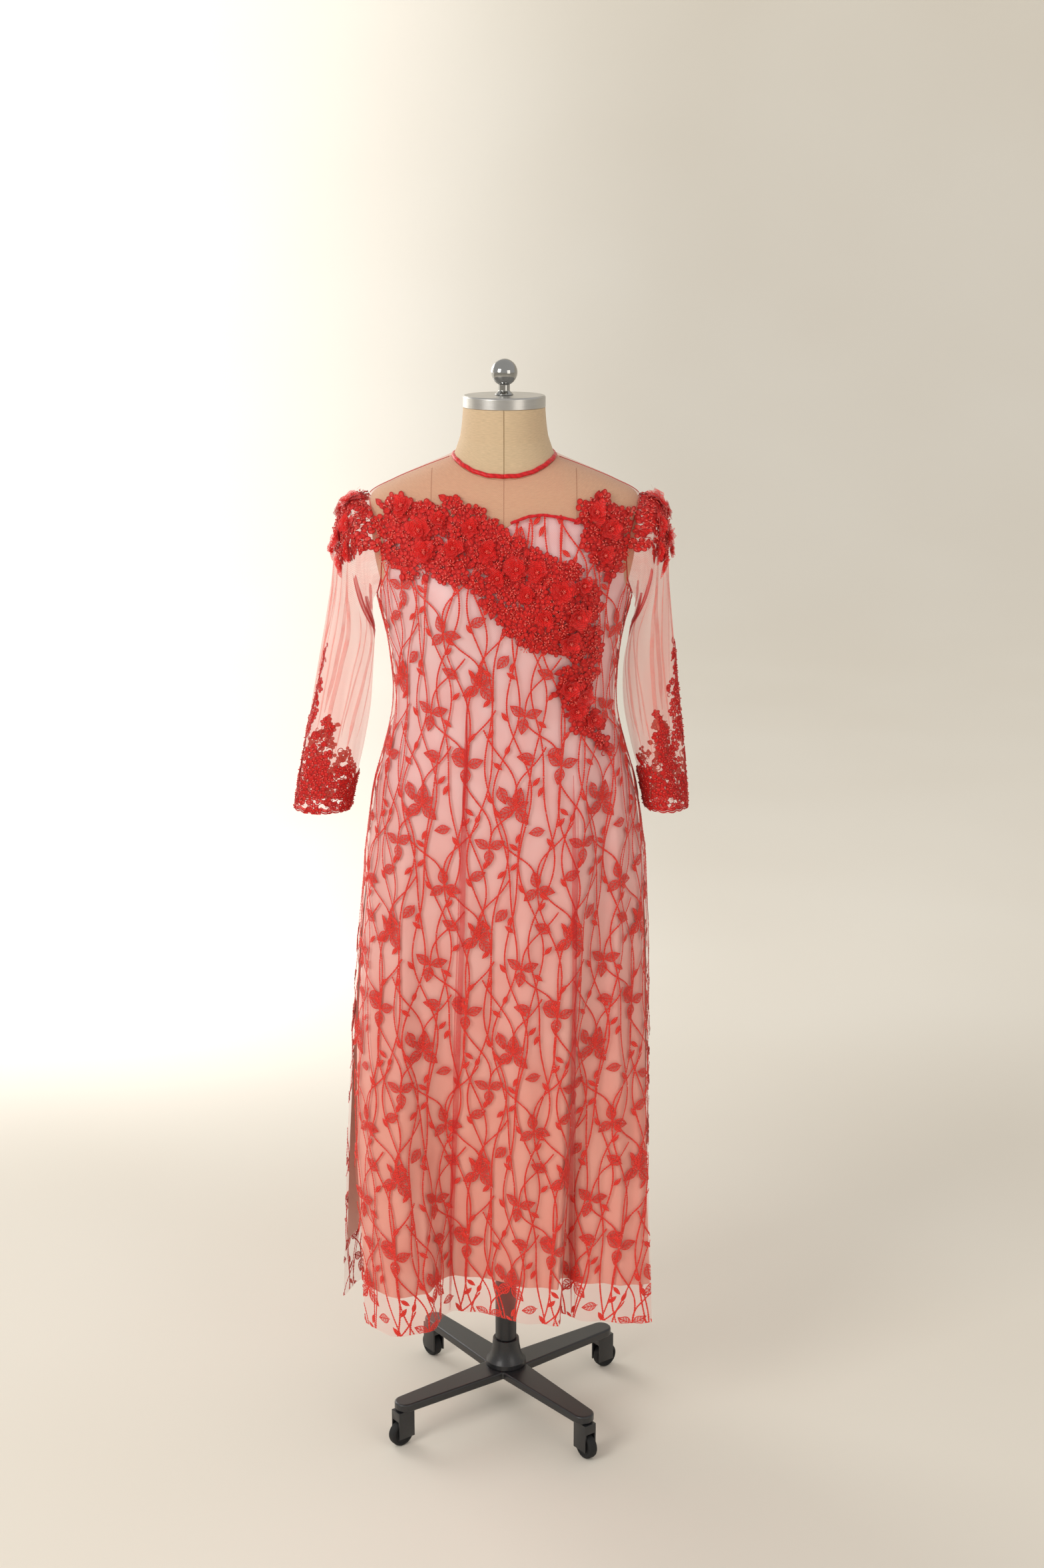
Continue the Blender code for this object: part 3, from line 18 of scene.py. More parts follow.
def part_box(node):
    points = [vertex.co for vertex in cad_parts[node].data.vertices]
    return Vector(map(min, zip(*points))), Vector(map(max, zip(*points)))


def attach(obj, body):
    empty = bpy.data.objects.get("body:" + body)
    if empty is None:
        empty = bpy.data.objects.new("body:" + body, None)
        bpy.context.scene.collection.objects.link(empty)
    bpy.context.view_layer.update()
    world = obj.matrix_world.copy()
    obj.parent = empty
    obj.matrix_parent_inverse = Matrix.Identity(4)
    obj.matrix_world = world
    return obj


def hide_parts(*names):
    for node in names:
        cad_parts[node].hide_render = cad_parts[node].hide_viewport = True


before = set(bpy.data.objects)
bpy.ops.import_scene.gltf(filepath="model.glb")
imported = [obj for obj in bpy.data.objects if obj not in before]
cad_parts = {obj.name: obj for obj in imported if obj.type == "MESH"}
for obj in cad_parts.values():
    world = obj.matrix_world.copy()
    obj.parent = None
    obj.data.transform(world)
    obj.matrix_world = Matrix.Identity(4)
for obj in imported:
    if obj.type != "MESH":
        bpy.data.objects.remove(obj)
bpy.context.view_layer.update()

bl_info = {
    "name": "Lace Tunic on Dress Form",
    "version": (1, 0, 0),
    "blender": (4, 5, 0),
    "location": "View3D > Sidebar > Tunic",
    "description": "Makes the cloth, lace, trim, form, stand and stage of a lace tunic",
    "category": "Add Mesh",
}

# Place of the form's axis in the object's own frame
AXIS_X = 0.021
AXIS_Y = 0.007


class Table:
    """A short table with named columns, a row for each section or fold."""

    def __init__(self, columns, rows):
        self.columns = columns
        self.rows = np.array(rows, dtype=float)

    def values(self, name):
        return self.rows[:, self.columns.index(name)]

    def smooth(self, name, position):
        """A column at row numbers with a fraction, on a Catmull-Rom curve."""
        values = self.values(name)
        last = len(values) - 1
        position = np.clip(position, 0, last)
        row = np.minimum(position.astype(int), last - 1)
        t = position - row
        before, start, end, after = (values[np.clip(row + k, 0, last)] for k in (-1, 0, 1, 2))
        bend = 2 * before - 5 * start + 4 * end - after
        twist = 3 * start - before - 3 * end + after
        return 0.5 * (2 * start + (end - before) * t + bend * t * t + twist * t * t * t)

    def straight(self, name, key):
        """A column by the first column, on straight lines."""
        order = np.argsort(self.rows[:, 0])
        return np.interp(key, self.rows[order, 0], self.values(name)[order])


# Worn surface, one row for each ring, from the neckline to the hip
RINGS = Table(("side_x", "front_y", "back_y", "side_z", "front_z", "back_z"), (
    (0.078, 0.078, 0.070, 1.544, 1.519, 1.562),
    (0.118, 0.092, 0.096, 1.529, 1.500, 1.535),
    (0.163, 0.103, 0.114, 1.510, 1.478, 1.505),
    (0.199, 0.114, 0.124, 1.489, 1.455, 1.472),
    (0.2035, 0.124, 0.129, 1.455, 1.430, 1.440),
    (0.200, 0.135, 0.131, 1.400, 1.396, 1.398),
    (0.193, 0.142, 0.129, 1.362, 1.360, 1.361),
    (0.187, 0.145, 0.126, 1.330, 1.330, 1.330),
    (0.175, 0.141, 0.121, 1.280, 1.280, 1.280),
    (0.168, 0.132, 0.117, 1.220, 1.220, 1.220),
    (0.1685, 0.128, 0.115, 1.170, 1.170, 1.170),
    (0.179, 0.131, 0.121, 1.120, 1.120, 1.120),
    (0.198, 0.140, 0.136, 1.050, 1.050, 1.050),
    (0.209, 0.147, 0.146, 0.975, 0.975, 0.975),
    (0.2145, 0.150, 0.150, 0.920, 0.920, 0.920),
    (0.2145, 0.150, 0.150, 0.800, 0.800, 0.800),
))
WAIST_ROW = 9.5
ROUNDNESS = 2.3
BUST_RISE = 0.013
BUST_X = 0.082
BUST_Z = 1.345
BUST_WIDE = 0.052
BUST_TALL = 0.062

# Armhole and the edges between the yokes and the panels
TIP_Z = 1.489
UNDERARM_Z = 1.340
ARMHOLE_ANGLE = math.radians(31)
ARMHOLE_HEIGHTS = (1.489, 1.465, 1.435, 1.405, 1.375, 1.352, 1.340)
NECK_SIDE_Z = 1.544
BACK_EDGE_Z = 1.435
SWEETHEART_MIDDLE_Z = 1.455
SWEETHEART = Table(("x", "z"), (
    (0.000, 1.4520),
    (0.012, 1.4600),
    (0.035, 1.4680),
    (0.056, 1.4700),
    (0.086, 1.4655),
    (0.106, 1.4605),
    (0.140, 1.4480),
    (0.182, 1.4350),
))

# Skirt
HIP_Z = 0.920
FOLD_TOP_Z = 1.170
FRONT_HEM_Z = 0.226
BACK_HEM_Z = 0.185
LINING_HEM_Z = 0.285
LINING_GAP = 0.0040
FRONT_HEM = Table(("x", "y"), (
    (-0.2157, -0.156),
    (-0.176, -0.197),
    (-0.132, -0.197),
    (-0.108, -0.180),
    (-0.098, -0.139),
    (-0.080, -0.115),
    (-0.043, -0.120),
    (-0.006, -0.145),
    (0.038, -0.158),
    (0.082, -0.169),
    (0.086, -0.126),
    (0.126, -0.150),
    (0.199, -0.160),
    (0.2265, -0.156),
))
BACK_HEM = Table(("x", "y"), (
    (0.222, 0.012),
    (0.212, 0.070),
    (0.172, 0.118),
    (0.122, 0.128),
    (0.075, 0.164),
    (0.000, 0.140),
    (-0.078, 0.166),
    (-0.130, 0.130),
    (-0.185, 0.122),
    (-0.240, 0.072),
    (-0.262, 0.012),
))
FRONT_HEM_FLAT = (-0.156, 0.0)
BACK_HEM_FLAT = (0.012, 0.138)
SWING = Table(("z", "front_right", "front_left", "back"), (
    (0.920, 0.000, 0.000, 0.000),
    (0.800, 0.009, 0.001, 0.006),
    (0.650, 0.017, 0.000, 0.008),
    (0.465, 0.016, -0.002, 0.007),
    (0.226, 0.000, 0.000, 0.002),
    (0.185, 0.000, 0.000, 0.000),
))
ZIP_SHARE = 0.003
EDGE_SHARE = 0.9995
# Soft folds: both ends, half the width, and the depth, which is below 0 in a trough
FOLD_COLUMNS = ("top_x", "top_z", "low_x", "low_z", "wide", "deep")
FRONT_FOLDS = Table(FOLD_COLUMNS, (
    (-0.196, 1.24, -0.207, 0.30, 0.009, 0.0035),
    (-0.150, 1.12, -0.163, 0.28, 0.014, 0.0050),
    (-0.126, 0.86, -0.132, 0.22, 0.011, -0.0045),
    (-0.052, 1.04, -0.060, 0.22, 0.016, 0.0050),
    (-0.012, 0.88, -0.010, 0.22, 0.018, -0.0050),
    (0.034, 1.00, 0.030, 0.24, 0.015, 0.0045),
    (0.062, 0.74, 0.058, 0.22, 0.011, -0.0040),
    (0.118, 1.16, 0.114, 0.24, 0.012, 0.0055),
    (0.148, 1.24, 0.150, 0.22, 0.009, -0.0050),
    (0.168, 1.27, 0.178, 0.26, 0.007, 0.0045),
    (0.188, 1.18, 0.199, 0.22, 0.006, -0.0035),
    (0.200, 1.10, 0.212, 0.22, 0.006, 0.0035),
    (-0.083, 1.325, -0.086, 1.10, 0.008, -0.0032),
    (0.085, 1.320, 0.090, 1.10, 0.008, -0.0032),
    (-0.150, 1.350, -0.128, 1.20, 0.012, -0.0022),
    (0.152, 1.345, 0.130, 1.20, 0.012, -0.0022),
))
BACK_FOLDS = Table(FOLD_COLUMNS, (
    (-0.178, 1.10, -0.214, 0.20, 0.011, 0.0050),
    (-0.140, 0.98, -0.160, 0.20, 0.014, -0.0050),
    (-0.095, 1.12, -0.104, 0.20, 0.013, 0.0060),
    (-0.052, 0.90, -0.060, 0.20, 0.015, -0.0045),
    (-0.024, 1.14, -0.020, 0.20, 0.012, 0.0040),
    (0.028, 1.06, 0.034, 0.20, 0.014, 0.0050),
    (0.070, 0.92, 0.076, 0.20, 0.013, -0.0050),
    (0.104, 1.12, 0.116, 0.20, 0.012, 0.0055),
    (0.146, 1.00, 0.156, 0.20, 0.012, -0.0045),
    (0.176, 1.12, 0.190, 0.20, 0.010, 0.0045),
))
FOLD_FADE = 0.14

# Sleeves: the outer and the inner line, and half the depth, one row for each ring after the armhole
SLEEVE_COLUMNS = ("outer_x", "outer_z", "inner_x", "inner_z", "half_y", "fold")
LEFT_SLEEVE = Table(SLEEVE_COLUMNS, (
    (0.222, 1.484, 0.1945, 1.3330, 0.072, 0.000),
    (0.236, 1.458, 0.1955, 1.3250, 0.068, 0.002),
    (0.242, 1.410, 0.1945, 1.3130, 0.062, 0.004),
    (0.246, 1.350, 0.1900, 1.2950, 0.056, 0.005),
    (0.251, 1.290, 0.1830, 1.2650, 0.052, 0.005),
    (0.255, 1.230, 0.1775, 1.2250, 0.050, 0.005),
    (0.260, 1.170, 0.1795, 1.1700, 0.048, 0.005),
    (0.266, 1.115, 0.1905, 1.1150, 0.047, 0.004),
    (0.271, 1.065, 0.2035, 1.0650, 0.046, 0.003),
    (0.277, 1.012, 0.2140, 1.0120, 0.046, 0.001),
))
RIGHT_SLEEVE = Table(SLEEVE_COLUMNS, (
    (0.222, 1.484, 0.1945, 1.3330, 0.072, 0.000),
    (0.239, 1.458, 0.1965, 1.3250, 0.069, 0.002),
    (0.249, 1.410, 0.1970, 1.3130, 0.064, 0.004),
    (0.256, 1.350, 0.1960, 1.2950, 0.058, 0.005),
    (0.267, 1.290, 0.1950, 1.2700, 0.053, 0.005),
    (0.280, 1.230, 0.1970, 1.2250, 0.050, 0.005),
    (0.293, 1.170, 0.2010, 1.1700, 0.048, 0.005),
    (0.304, 1.115, 0.2110, 1.1150, 0.047, 0.004),
    (0.312, 1.065, 0.2230, 1.0650, 0.046, 0.003),
    (0.320, 1.010, 0.2360, 1.0100, 0.046, 0.001),
))
SLEEVE_WAVES = 4
SLEEVE_SEAM = 0.00075
SLEEVE_END = 10.0

# Dress form
FORM_GAP = Table(("z", "gap"), (
    (1.560, 0.0022),
    (1.500, 0.0024),
    (1.482, 0.0046),
    (1.450, 0.0064),
    (1.340, 0.0100),
    (1.170, 0.0085),
    (1.050, 0.0130),
    (0.920, 0.0220),
    (0.820, 0.0300),
))
PRINCESS_X = 0.105
FORM_BOTTOM_Z = 0.820
# Shares up the form's skin where the princess seams end and the neck's seam lies
PRINCESS_TOP = 0.60
NECK_SEAM = 0.668
FINIAL_NECK = 0.0084
NECK_RINGS = Table(("radius_x", "front_y", "back_y", "side_z", "front_z", "back_z"), (
    (0.0600, 0.0600, 0.0600, 1.6147, 1.6147, 1.6147),
    (0.0620, 0.0620, 0.0590, 1.590, 1.588, 1.592),
    (0.0655, 0.0645, 0.0590, 1.566, 1.556, 1.580),
))

# Lace repeat: stems sway about their own line, branches and leaves lie between them
REPEAT_WIDE = 0.140
REPEAT_TALL = 0.380
STEMS = Table(("start", "sway", "turn", "second", "second_turn"), (
    (0.006, 0.0165, 0.00, 0.0060, 0.10),
    (0.022, 0.0150, 0.52, 0.0065, 0.55),
    (0.041, 0.0180, 0.12, 0.0050, 0.80),
    (0.058, 0.0145, 0.62, 0.0070, 0.25),
    (0.075, 0.0170, 0.30, 0.0060, 0.95),
    (0.094, 0.0155, 0.85, 0.0065, 0.40),
    (0.110, 0.0180, 0.20, 0.0050, 0.65),
    (0.128, 0.0145, 0.73, 0.0065, 0.05),
))
BRANCHES = Table(("u", "v", "to_u", "to_v", "bow"), (
    (0.030, 0.040, 0.084, 0.128, 0.010),
    (0.105, 0.085, 0.060, 0.160, -0.012),
    (0.105, 0.085, 0.150, 0.178, 0.012),
    (0.052, 0.165, 0.104, 0.262, 0.013),
    (0.052, 0.165, -0.004, 0.236, -0.010),
    (0.120, 0.225, 0.078, 0.330, -0.012),
    (0.120, 0.225, 0.162, 0.290, 0.008),
    (0.018, 0.285, 0.062, 0.374, 0.011),
    (0.018, 0.285, -0.030, 0.400, -0.012),
    (0.085, 0.345, 0.128, 0.430, 0.010),
    (0.085, 0.345, 0.030, 0.410, -0.009),
))
TREFOILS = Table(("u", "v", "turn", "size", "leaves"), (
    (0.030, 0.040, 168, 1.00, 3),
    (0.105, 0.085, -12, 1.08, 5),
    (0.052, 0.165, 14, 1.00, 3),
    (0.120, 0.225, 184, 0.95, 3),
    (0.018, 0.285, -8, 1.10, 5),
    (0.085, 0.345, 172, 1.00, 3),
))
VEINED_LEAVES = Table(("u", "v", "turn", "size"), (
    (0.072, 0.098, 62, 1.05),
    (0.006, 0.132, 140, 1.00),
    (0.092, 0.178, -64, 1.00),
    (0.060, 0.252, 100, 0.90),
    (0.134, 0.316, 200, 1.05),
    (0.044, 0.358, 84, 1.00),
    (0.064, 0.362, -70, 0.90),
))
SMALL_LEAVES_A_STEM = 4
# The back's stitches are longer, because it is seen less
BACK_STITCH_SHARE = 1.5
STITCHES_TOP_Z = 1.471
STITCHES_LIFT = 0.0003
LEAF_LIFT = 0.0004
LEAF_LENGTH = 0.0250
LEAF_HALF = 0.0072
KNOT_RADIUS = 0.0022
CRYSTALS_A_PANEL = 560
# How much of a flat place's distance from the middle shows from straight in front of the bust
BUST_SHARE = 0.87
STITCHES_SEED = 7

# Net folded over itself in a narrow strip: both ends and the half width
STRIP_COLUMNS = ("top_x", "top_z", "low_x", "low_z", "half")
PLEATS = Table(STRIP_COLUMNS, (
    (-0.052, 1.215, -0.086, 0.230, 0.0040),
    (-0.0565, 1.190, -0.0898, 0.230, 0.0011),
    (0.1025, 1.090, 0.1029, 0.230, 0.0036),
    (0.1068, 1.060, 0.1068, 0.230, 0.0011),
))
PLEATS_TOP_Z = 1.30
# On sleeves x is metres forward from the outer line, and z is metres up from the cuff
SLEEVE_FOLDS = Table(STRIP_COLUMNS, (
    (0.014, 0.44, 0.008, 0.20, 0.0030),
    (0.034, 0.42, 0.026, 0.16, 0.0011),
    (0.062, 0.41, 0.046, 0.13, 0.0014),
    (0.080, 0.40, 0.062, 0.11, 0.0034),
    (0.104, 0.38, 0.078, 0.09, 0.0012),
    (0.128, 0.37, 0.096, 0.10, 0.0030),
    (0.146, 0.38, 0.110, 0.12, 0.0013),
    (-0.036, 0.42, -0.028, 0.18, 0.0012),
    (-0.064, 0.41, -0.052, 0.14, 0.0032),
    (-0.104, 0.37, -0.084, 0.10, 0.0013),
))
UNDERARM_FOLDS = Table(STRIP_COLUMNS, (
    (0.116, 0.450, 0.146, 0.335, 0.0150),
    (0.172, 0.462, 0.142, 0.350, 0.0140),
    (0.146, 0.420, 0.136, 0.290, 0.0045),
    (0.104, 0.440, 0.138, 0.325, 0.0032),
    (0.130, 0.440, 0.148, 0.300, 0.0040),
    (0.160, 0.450, 0.150, 0.320, 0.0045),
    (-0.170, 0.462, -0.136, 0.372, 0.0100),
))

# Corded lace: bands on the bodice with their two edges, as on the front seen straight on
BAND_COLUMNS = ("x", "top_z", "bottom_z")
BUST_BAND = Table(BAND_COLUMNS, (
    (-0.182, 1.490, 1.395),
    (-0.162, 1.497, 1.390),
    (-0.135, 1.494, 1.374),
    (-0.111, 1.492, 1.375),
    (-0.088, 1.496, 1.372),
    (-0.066, 1.496, 1.374),
    (-0.045, 1.489, 1.362),
    (-0.030, 1.481, 1.345),
    (-0.012, 1.467, 1.325),
    (0.003, 1.453, 1.300),
    (0.026, 1.440, 1.278),
    (0.050, 1.4225, 1.272),
    (0.074, 1.414, 1.270),
    (0.090, 1.411, 1.262),
    (0.106, 1.408, 1.248),
    (0.123, 1.381, 1.248),
    (0.134, 1.360, 1.250),
))
LEFT_BUST_BAND = Table(BAND_COLUMNS, (
    (0.108, 1.480, 1.457),
    (0.118, 1.494, 1.425),
    (0.130, 1.500, 1.396),
    (0.140, 1.501, 1.376),
    (0.152, 1.494, 1.378),
    (0.161, 1.484, 1.392),
    (0.168, 1.476, 1.395),
    (0.184, 1.478, 1.400),
))
CASCADE = Table(("z", "left_x", "right_x"), (
    (1.2400, 0.0775, 0.134),
    (1.2250, 0.0750, 0.132),
    (1.2060, 0.0735, 0.130),
    (1.1850, 0.0850, 0.136),
    (1.1610, 0.0975, 0.145),
    (1.1480, 0.1150, 0.148),
    (1.1330, 0.1310, 0.150),
    (1.1110, 0.1370, 0.151),
    (1.0990, 0.1405, 0.146),
))
LACE_LIFT = 0.0012
LACE_LOW_Z = 1.08
BODICE_TOP_Z = 1.515
LACE_SEED = 23
# Flat boxes that hold the bands and the cascade: from x, to x, from z and to z
BUST_BOX = (-0.184, 0.134, 1.25, 1.50)
LEFT_BUST_BOX = (0.108, 0.186, 1.37, 1.505)
HIP_BOX = (0.07, 0.155, 1.10, 1.255)
# Height of a row of a triangle grid, as a share of its pitch
TRIANGLE_ROW = 0.866
# Standing flowers: x, z and petal length
BUST_FLOWERS = (
    (-0.146, 1.478, 0.017), (-0.120, 1.448, 0.019), (-0.112, 1.418, 0.018), (-0.092, 1.462, 0.016),
    (-0.072, 1.424, 0.017), (-0.048, 1.452, 0.016), (-0.024, 1.420, 0.018), (-0.010, 1.384, 0.016),
    (0.018, 1.396, 0.020), (0.034, 1.360, 0.017), (0.048, 1.392, 0.018), (0.060, 1.330, 0.016),
    (0.084, 1.366, 0.019), (0.104, 1.330, 0.018), (0.112, 1.372, 0.016), (0.094, 1.292, 0.018),
)
LEFT_BUST_FLOWERS = ((0.132, 1.470, 0.017), (0.152, 1.448, 0.018), (0.142, 1.412, 0.015))
HIP_FLOWERS = ((0.094, 1.222, 0.020), (0.114, 1.206, 0.018), (0.104, 1.184, 0.016), (0.128, 1.168, 0.014))
# On the shoulders x is metres forward from the outer line, and z is metres down from the armhole
SHOULDER_FLOWERS = (
    (0.016, 0.028, 0.019), (0.060, 0.036, 0.018), (-0.020, 0.050, 0.017), (0.040, 0.070, 0.018),
    (0.088, 0.052, 0.016), (0.022, 0.100, 0.015), (0.070, 0.092, 0.016),
)
SHOULDER_SPRAYS = ((0.000, 0.020), (0.020, 0.024), (0.045, 0.030), (-0.025, 0.045), (0.030, 0.060))
# Shoulder lace: its lowest height, how far forward that is, and its reach to each side of that
SHOULDER_LOW_Z = 1.396
SHOULDER_FORWARD = 0.062
SHOULDER_REACH = 0.105
# Lace clusters of the cuffs: metres forward from the outer line and up from the edge, and half their sizes
CUFF_CLUSTERS = Table(("u", "v", "half_u", "half_v"), (
    (0.000, 0.085, 0.013, 0.050),
    (0.024, 0.150, 0.016, 0.035),
    (0.030, 0.190, 0.014, 0.025),
    (0.028, 0.232, 0.010, 0.040),
    (0.017, 0.165, 0.014, 0.008),
    (0.016, 0.125, 0.013, 0.008),
    (0.030, 0.118, 0.012, 0.006),
    (0.052, 0.080, 0.021, 0.034),
    (0.056, 0.122, 0.016, 0.014),
    (0.062, 0.145, 0.007, 0.014),
    (0.088, 0.064, 0.012, 0.016),
    (0.102, 0.066, 0.012, 0.014),
    (-0.052, 0.078, 0.021, 0.032),
    (-0.058, 0.118, 0.014, 0.014),
    (-0.016, 0.130, 0.013, 0.010),
    (-0.092, 0.066, 0.012, 0.016),
))
CUFF_BAND = 0.056
SCALLOPS = 16
SCALLOP_DEEP = 0.003
CUFF_LACE_TOP = 0.28
CUFF_SEED = 31

# Trim
BINDING_RADIUS = 0.0034
BINDING_CLEAR = 0.0011
BINDING_TWIST = 260.0
PIPING_RADIUS = 0.0023
PIPING_TWIST = 520.0
PIPING_START_X = 0.010
PIPING_END_X = 0.105
NECK_BACK_Z = 1.562
ZIP_BOTTOM_Z = 1.200
ZIP_PITCH = 0.0018
TAPE_X = 0.00235
TAPE_HALF = 0.0021
SEAM_RADIUS = 0.0007
ARMHOLE_SEAM_RADIUS = 0.0009
SHOULDER_SEAM_Z = (1.543, 1.490)
SIDE_SEAM_LOW_Z = 0.930

# Stand
LEG_COUNT = 4
LEG_FIRST_ANGLE = 37.5
LEG_REACH = 0.199
LEG_ROOT_HALF = 0.024
LEG_TIP_HALF = 0.017
WHEEL_RADIUS = 0.020
WHEEL_HALF_WIDTH = 0.0075
WHEEL_BORE = 0.0034

# Grids
CLOTH_COLUMNS = 241
CLOTH_ROWS = 421
CLOTH_MARKS = 901
CLOTH_REACH = 0.45
FRONT_YOKE_GRID = (110, 44)
BACK_YOKE_GRID = (60, 44)
SLEEVE_GRID = (112, 124)
FORM_GRID = (112, 150)

# Stage
LENS_MM = 53.0
SENSOR_MM = 36.0
CAMERA_PLACE = (0.047, -3.393, 1.929)
CAMERA_TILT = 75.44
SKY_COLOUR = (1.0, 0.98, 0.95, 1)
SKY_STRENGTH = 0.62
# Lights: name, place, aim, size, power and colour
LIGHTS = (
    ("key", (-2.4, -2.6, 2.6), (0, 0, 1.1), 1.6, 62, (1.0, 0.98, 0.95)),
    ("fill", (2.8, -3.2, 2.0), (0, 0, 1.0), 2.0, 22, (1.0, 0.95, 0.88)),
    ("window", (-2.2, 2.2, 2.2), (0, 0, 1.2), 1.6, 34, (1.0, 1.0, 1.0)),
)
SWEEP_WIDE = 70.0
SWEEP_LENGTH = 46.0
SWEEP_FRONT_Y = -30.0
SWEEP_WALL_Y = 6.0
SWEEP_RADIUS = 3.0
# How far in front of the form the edges of the backdrop's glow meet, which is about at the camera
GLOW_DEPTH = 3.4


def srgb(code):
    """A hex colour as three linear values."""
    parts = [int(code[k:k + 2], 16) / 255 for k in (0, 2, 4)]
    return tuple(c / 12.92 if c <= 0.04045 else ((c + 0.055) / 1.055) ** 2.4 for c in parts)


def colour_prop(name, code, about):
    return FloatVectorProperty(name=name, description=about, subtype="COLOR", min=0, max=1,
                               default=srgb(code))


def size_prop(name, metres, about):
    return FloatProperty(name=name, description=about, unit="LENGTH", min=0, default=metres, precision=4)


class TunicColours(PropertyGroup):
    """Colours of the tunic and of the form."""

    net: colour_prop("Net", "FA6E5C", "Dye of the sheer net")
    net_deep: colour_prop("Doubled net", "DE1A18", "Net where folds double it")
    thread: colour_prop("Embroidery", "DA2E22", "Thread of the embroidered stems and leaves")
    glint: colour_prop("Glint", "F08C80", "Thread where its gloss catches the light")
    cord: colour_prop("Cord", "BC1210", "Cord that outlines the lace flowers")
    petal: colour_prop("Lace petal", "E41C14", "Filled petals of the lace flowers")
    organza: colour_prop("Organza", "E62420", "Standing petals")
    bead: colour_prop("Bead", "EA4A3C", "Glass beads")
    satin_top: colour_prop("Bodice lining", "EBD3D4", "Satin behind the bodice")
    satin_skirt: colour_prop("Skirt lining", "E8AC9B", "Satin behind the skirt")
    binding: colour_prop("Binding", "D0161E", "Satin of the neck binding and the piping")
    linen: colour_prop("Form cover", "D2B793", "Linen of the form's cover")


class TunicSizes(PropertyGroup):
    """Sizes that a user would change."""

    stem_half: size_prop("Stem half width", 0.0012, "Half the width of an embroidered stem")
    stem_step: size_prop("Stem step", 0.0017, "Length of one stitch of a stem")
    cord_half: size_prop("Cord half width", 0.00065, "Half the width of the cord round a lace flower")
    bead_radius: size_prop("Bead radius", 0.0011, "Radius of a glass bead")
    flower_pitch: size_prop("Lace flower pitch", 0.0115, "Distance between lace flowers")
    columns: IntProperty(name="Cloth columns", description="Columns of a panel's grid", default=144, min=20)
    rows: IntProperty(name="Cloth rows", description="Rows of a panel's grid", default=190, min=20)


# Worn surface
def power(value, exponent):
    return np.sign(value) * np.abs(value) ** exponent


def ring_z(angle, row):
    """Height of a ring at an angle, 0 in front and 90 degrees at the wearer's left."""
    side = RINGS.smooth("side_z", row)
    middle = np.where(np.cos(angle) > 0, RINGS.smooth("front_z", row), RINGS.smooth("back_z", row))
    return side + (middle - side) * np.cos(angle) ** 2


def row_at(angle, z):
    """The ring, with a fraction, that has height z at an angle."""
    low = np.zeros(np.shape(angle))
    high = np.full(np.shape(angle), float(len(RINGS.rows) - 1))
    for _ in range(26):
        middle = (low + high) / 2
        above = ring_z(angle, middle) > z
        low = np.where(above, middle, low)
        high = np.where(above, high, middle)
    return (low + high) / 2


def worn(angle, z, inward=0.0, drop=0.0):
    """Points of the worn surface at angles and heights, moved inward and down for the form."""
    angle, z = np.broadcast_arrays(np.asarray(angle, float), np.asarray(z, float))
    row = row_at(angle, z)
    front = np.cos(angle) > 0
    side_x = RINGS.smooth("side_x", row) - inward
    depth = np.where(front, RINGS.smooth("front_y", row), RINGS.smooth("back_y", row)) - inward
    x = side_x * power(np.sin(angle), 2 / ROUNDNESS)
    y = -depth * power(np.cos(angle), 2 / ROUNDNESS)
    across = (np.abs(x) - BUST_X) / BUST_WIDE
    up = (z - BUST_Z) / BUST_TALL
    y = y - np.where(front, BUST_RISE * np.exp(-across * across - up * up), 0)
    return np.stack((x, y, z - drop), axis=-1)


def neck_z(angle):
    return ring_z(angle, np.zeros(np.shape(angle)))


def side_limit(z):
    """The angle where a front section ends: the side seam, or the armhole where there is one."""
    share = (np.asarray(z, float) - (TIP_Z + UNDERARM_Z) / 2) / ((TIP_Z - UNDERARM_Z) / 2)
    return math.pi / 2 - ARMHOLE_ANGLE * np.sqrt(np.clip(1 - share * share, 0, 1))


def arc_shares(depth_column):
    """Arc length along a waist section over the angle, each as a share of its half."""
    row = np.array([WAIST_ROW])
    share = np.linspace(0, 1, 61)
    x = RINGS.smooth("side_x", row) * power(np.sin(math.pi / 2 * share), 2 / ROUNDNESS)
    y = RINGS.smooth(depth_column, row) * power(np.cos(math.pi / 2 * share), 2 / ROUNDNESS)
    lengths = np.concatenate(([0], np.cumsum(np.hypot(np.diff(x), np.diff(y)))))
    return lengths / lengths[-1], share


FRONT_SHARES = arc_shares("front_y")
BACK_SHARES = arc_shares("back_y")


def front_angle(across, limit):
    return np.sign(across) * np.interp(np.abs(across), *FRONT_SHARES) * limit


def back_angle(across, limit):
    return math.pi + np.sign(across) * np.interp(np.abs(across), *BACK_SHARES) * limit


def hem_point(across, hem):
    """A hem's x and y at shares across it, half way between a smooth curve and straight lines."""
    x, y = hem.values("x"), hem.values("y")
    lengths = np.concatenate(([0], np.cumsum(np.hypot(np.diff(x), np.diff(y)))))
    place = np.interp((across + 1) / 2 * lengths[-1], lengths, np.arange(len(x)))
    straight_x = np.interp(place, np.arange(len(x)), x)
    straight_y = np.interp(place, np.arange(len(y)), y)
    return (straight_x + hem.smooth("x", place)) / 2, (straight_y + hem.smooth("y", place)) / 2


def hem_flat(across, hem, flat):
    corner_y, depth = flat
    ends = hem.values("x")
    x = ends[0] + (ends[-1] - ends[0]) * (across + 1) / 2
    return x, corner_y + depth * (1 - np.abs(across) ** 3)


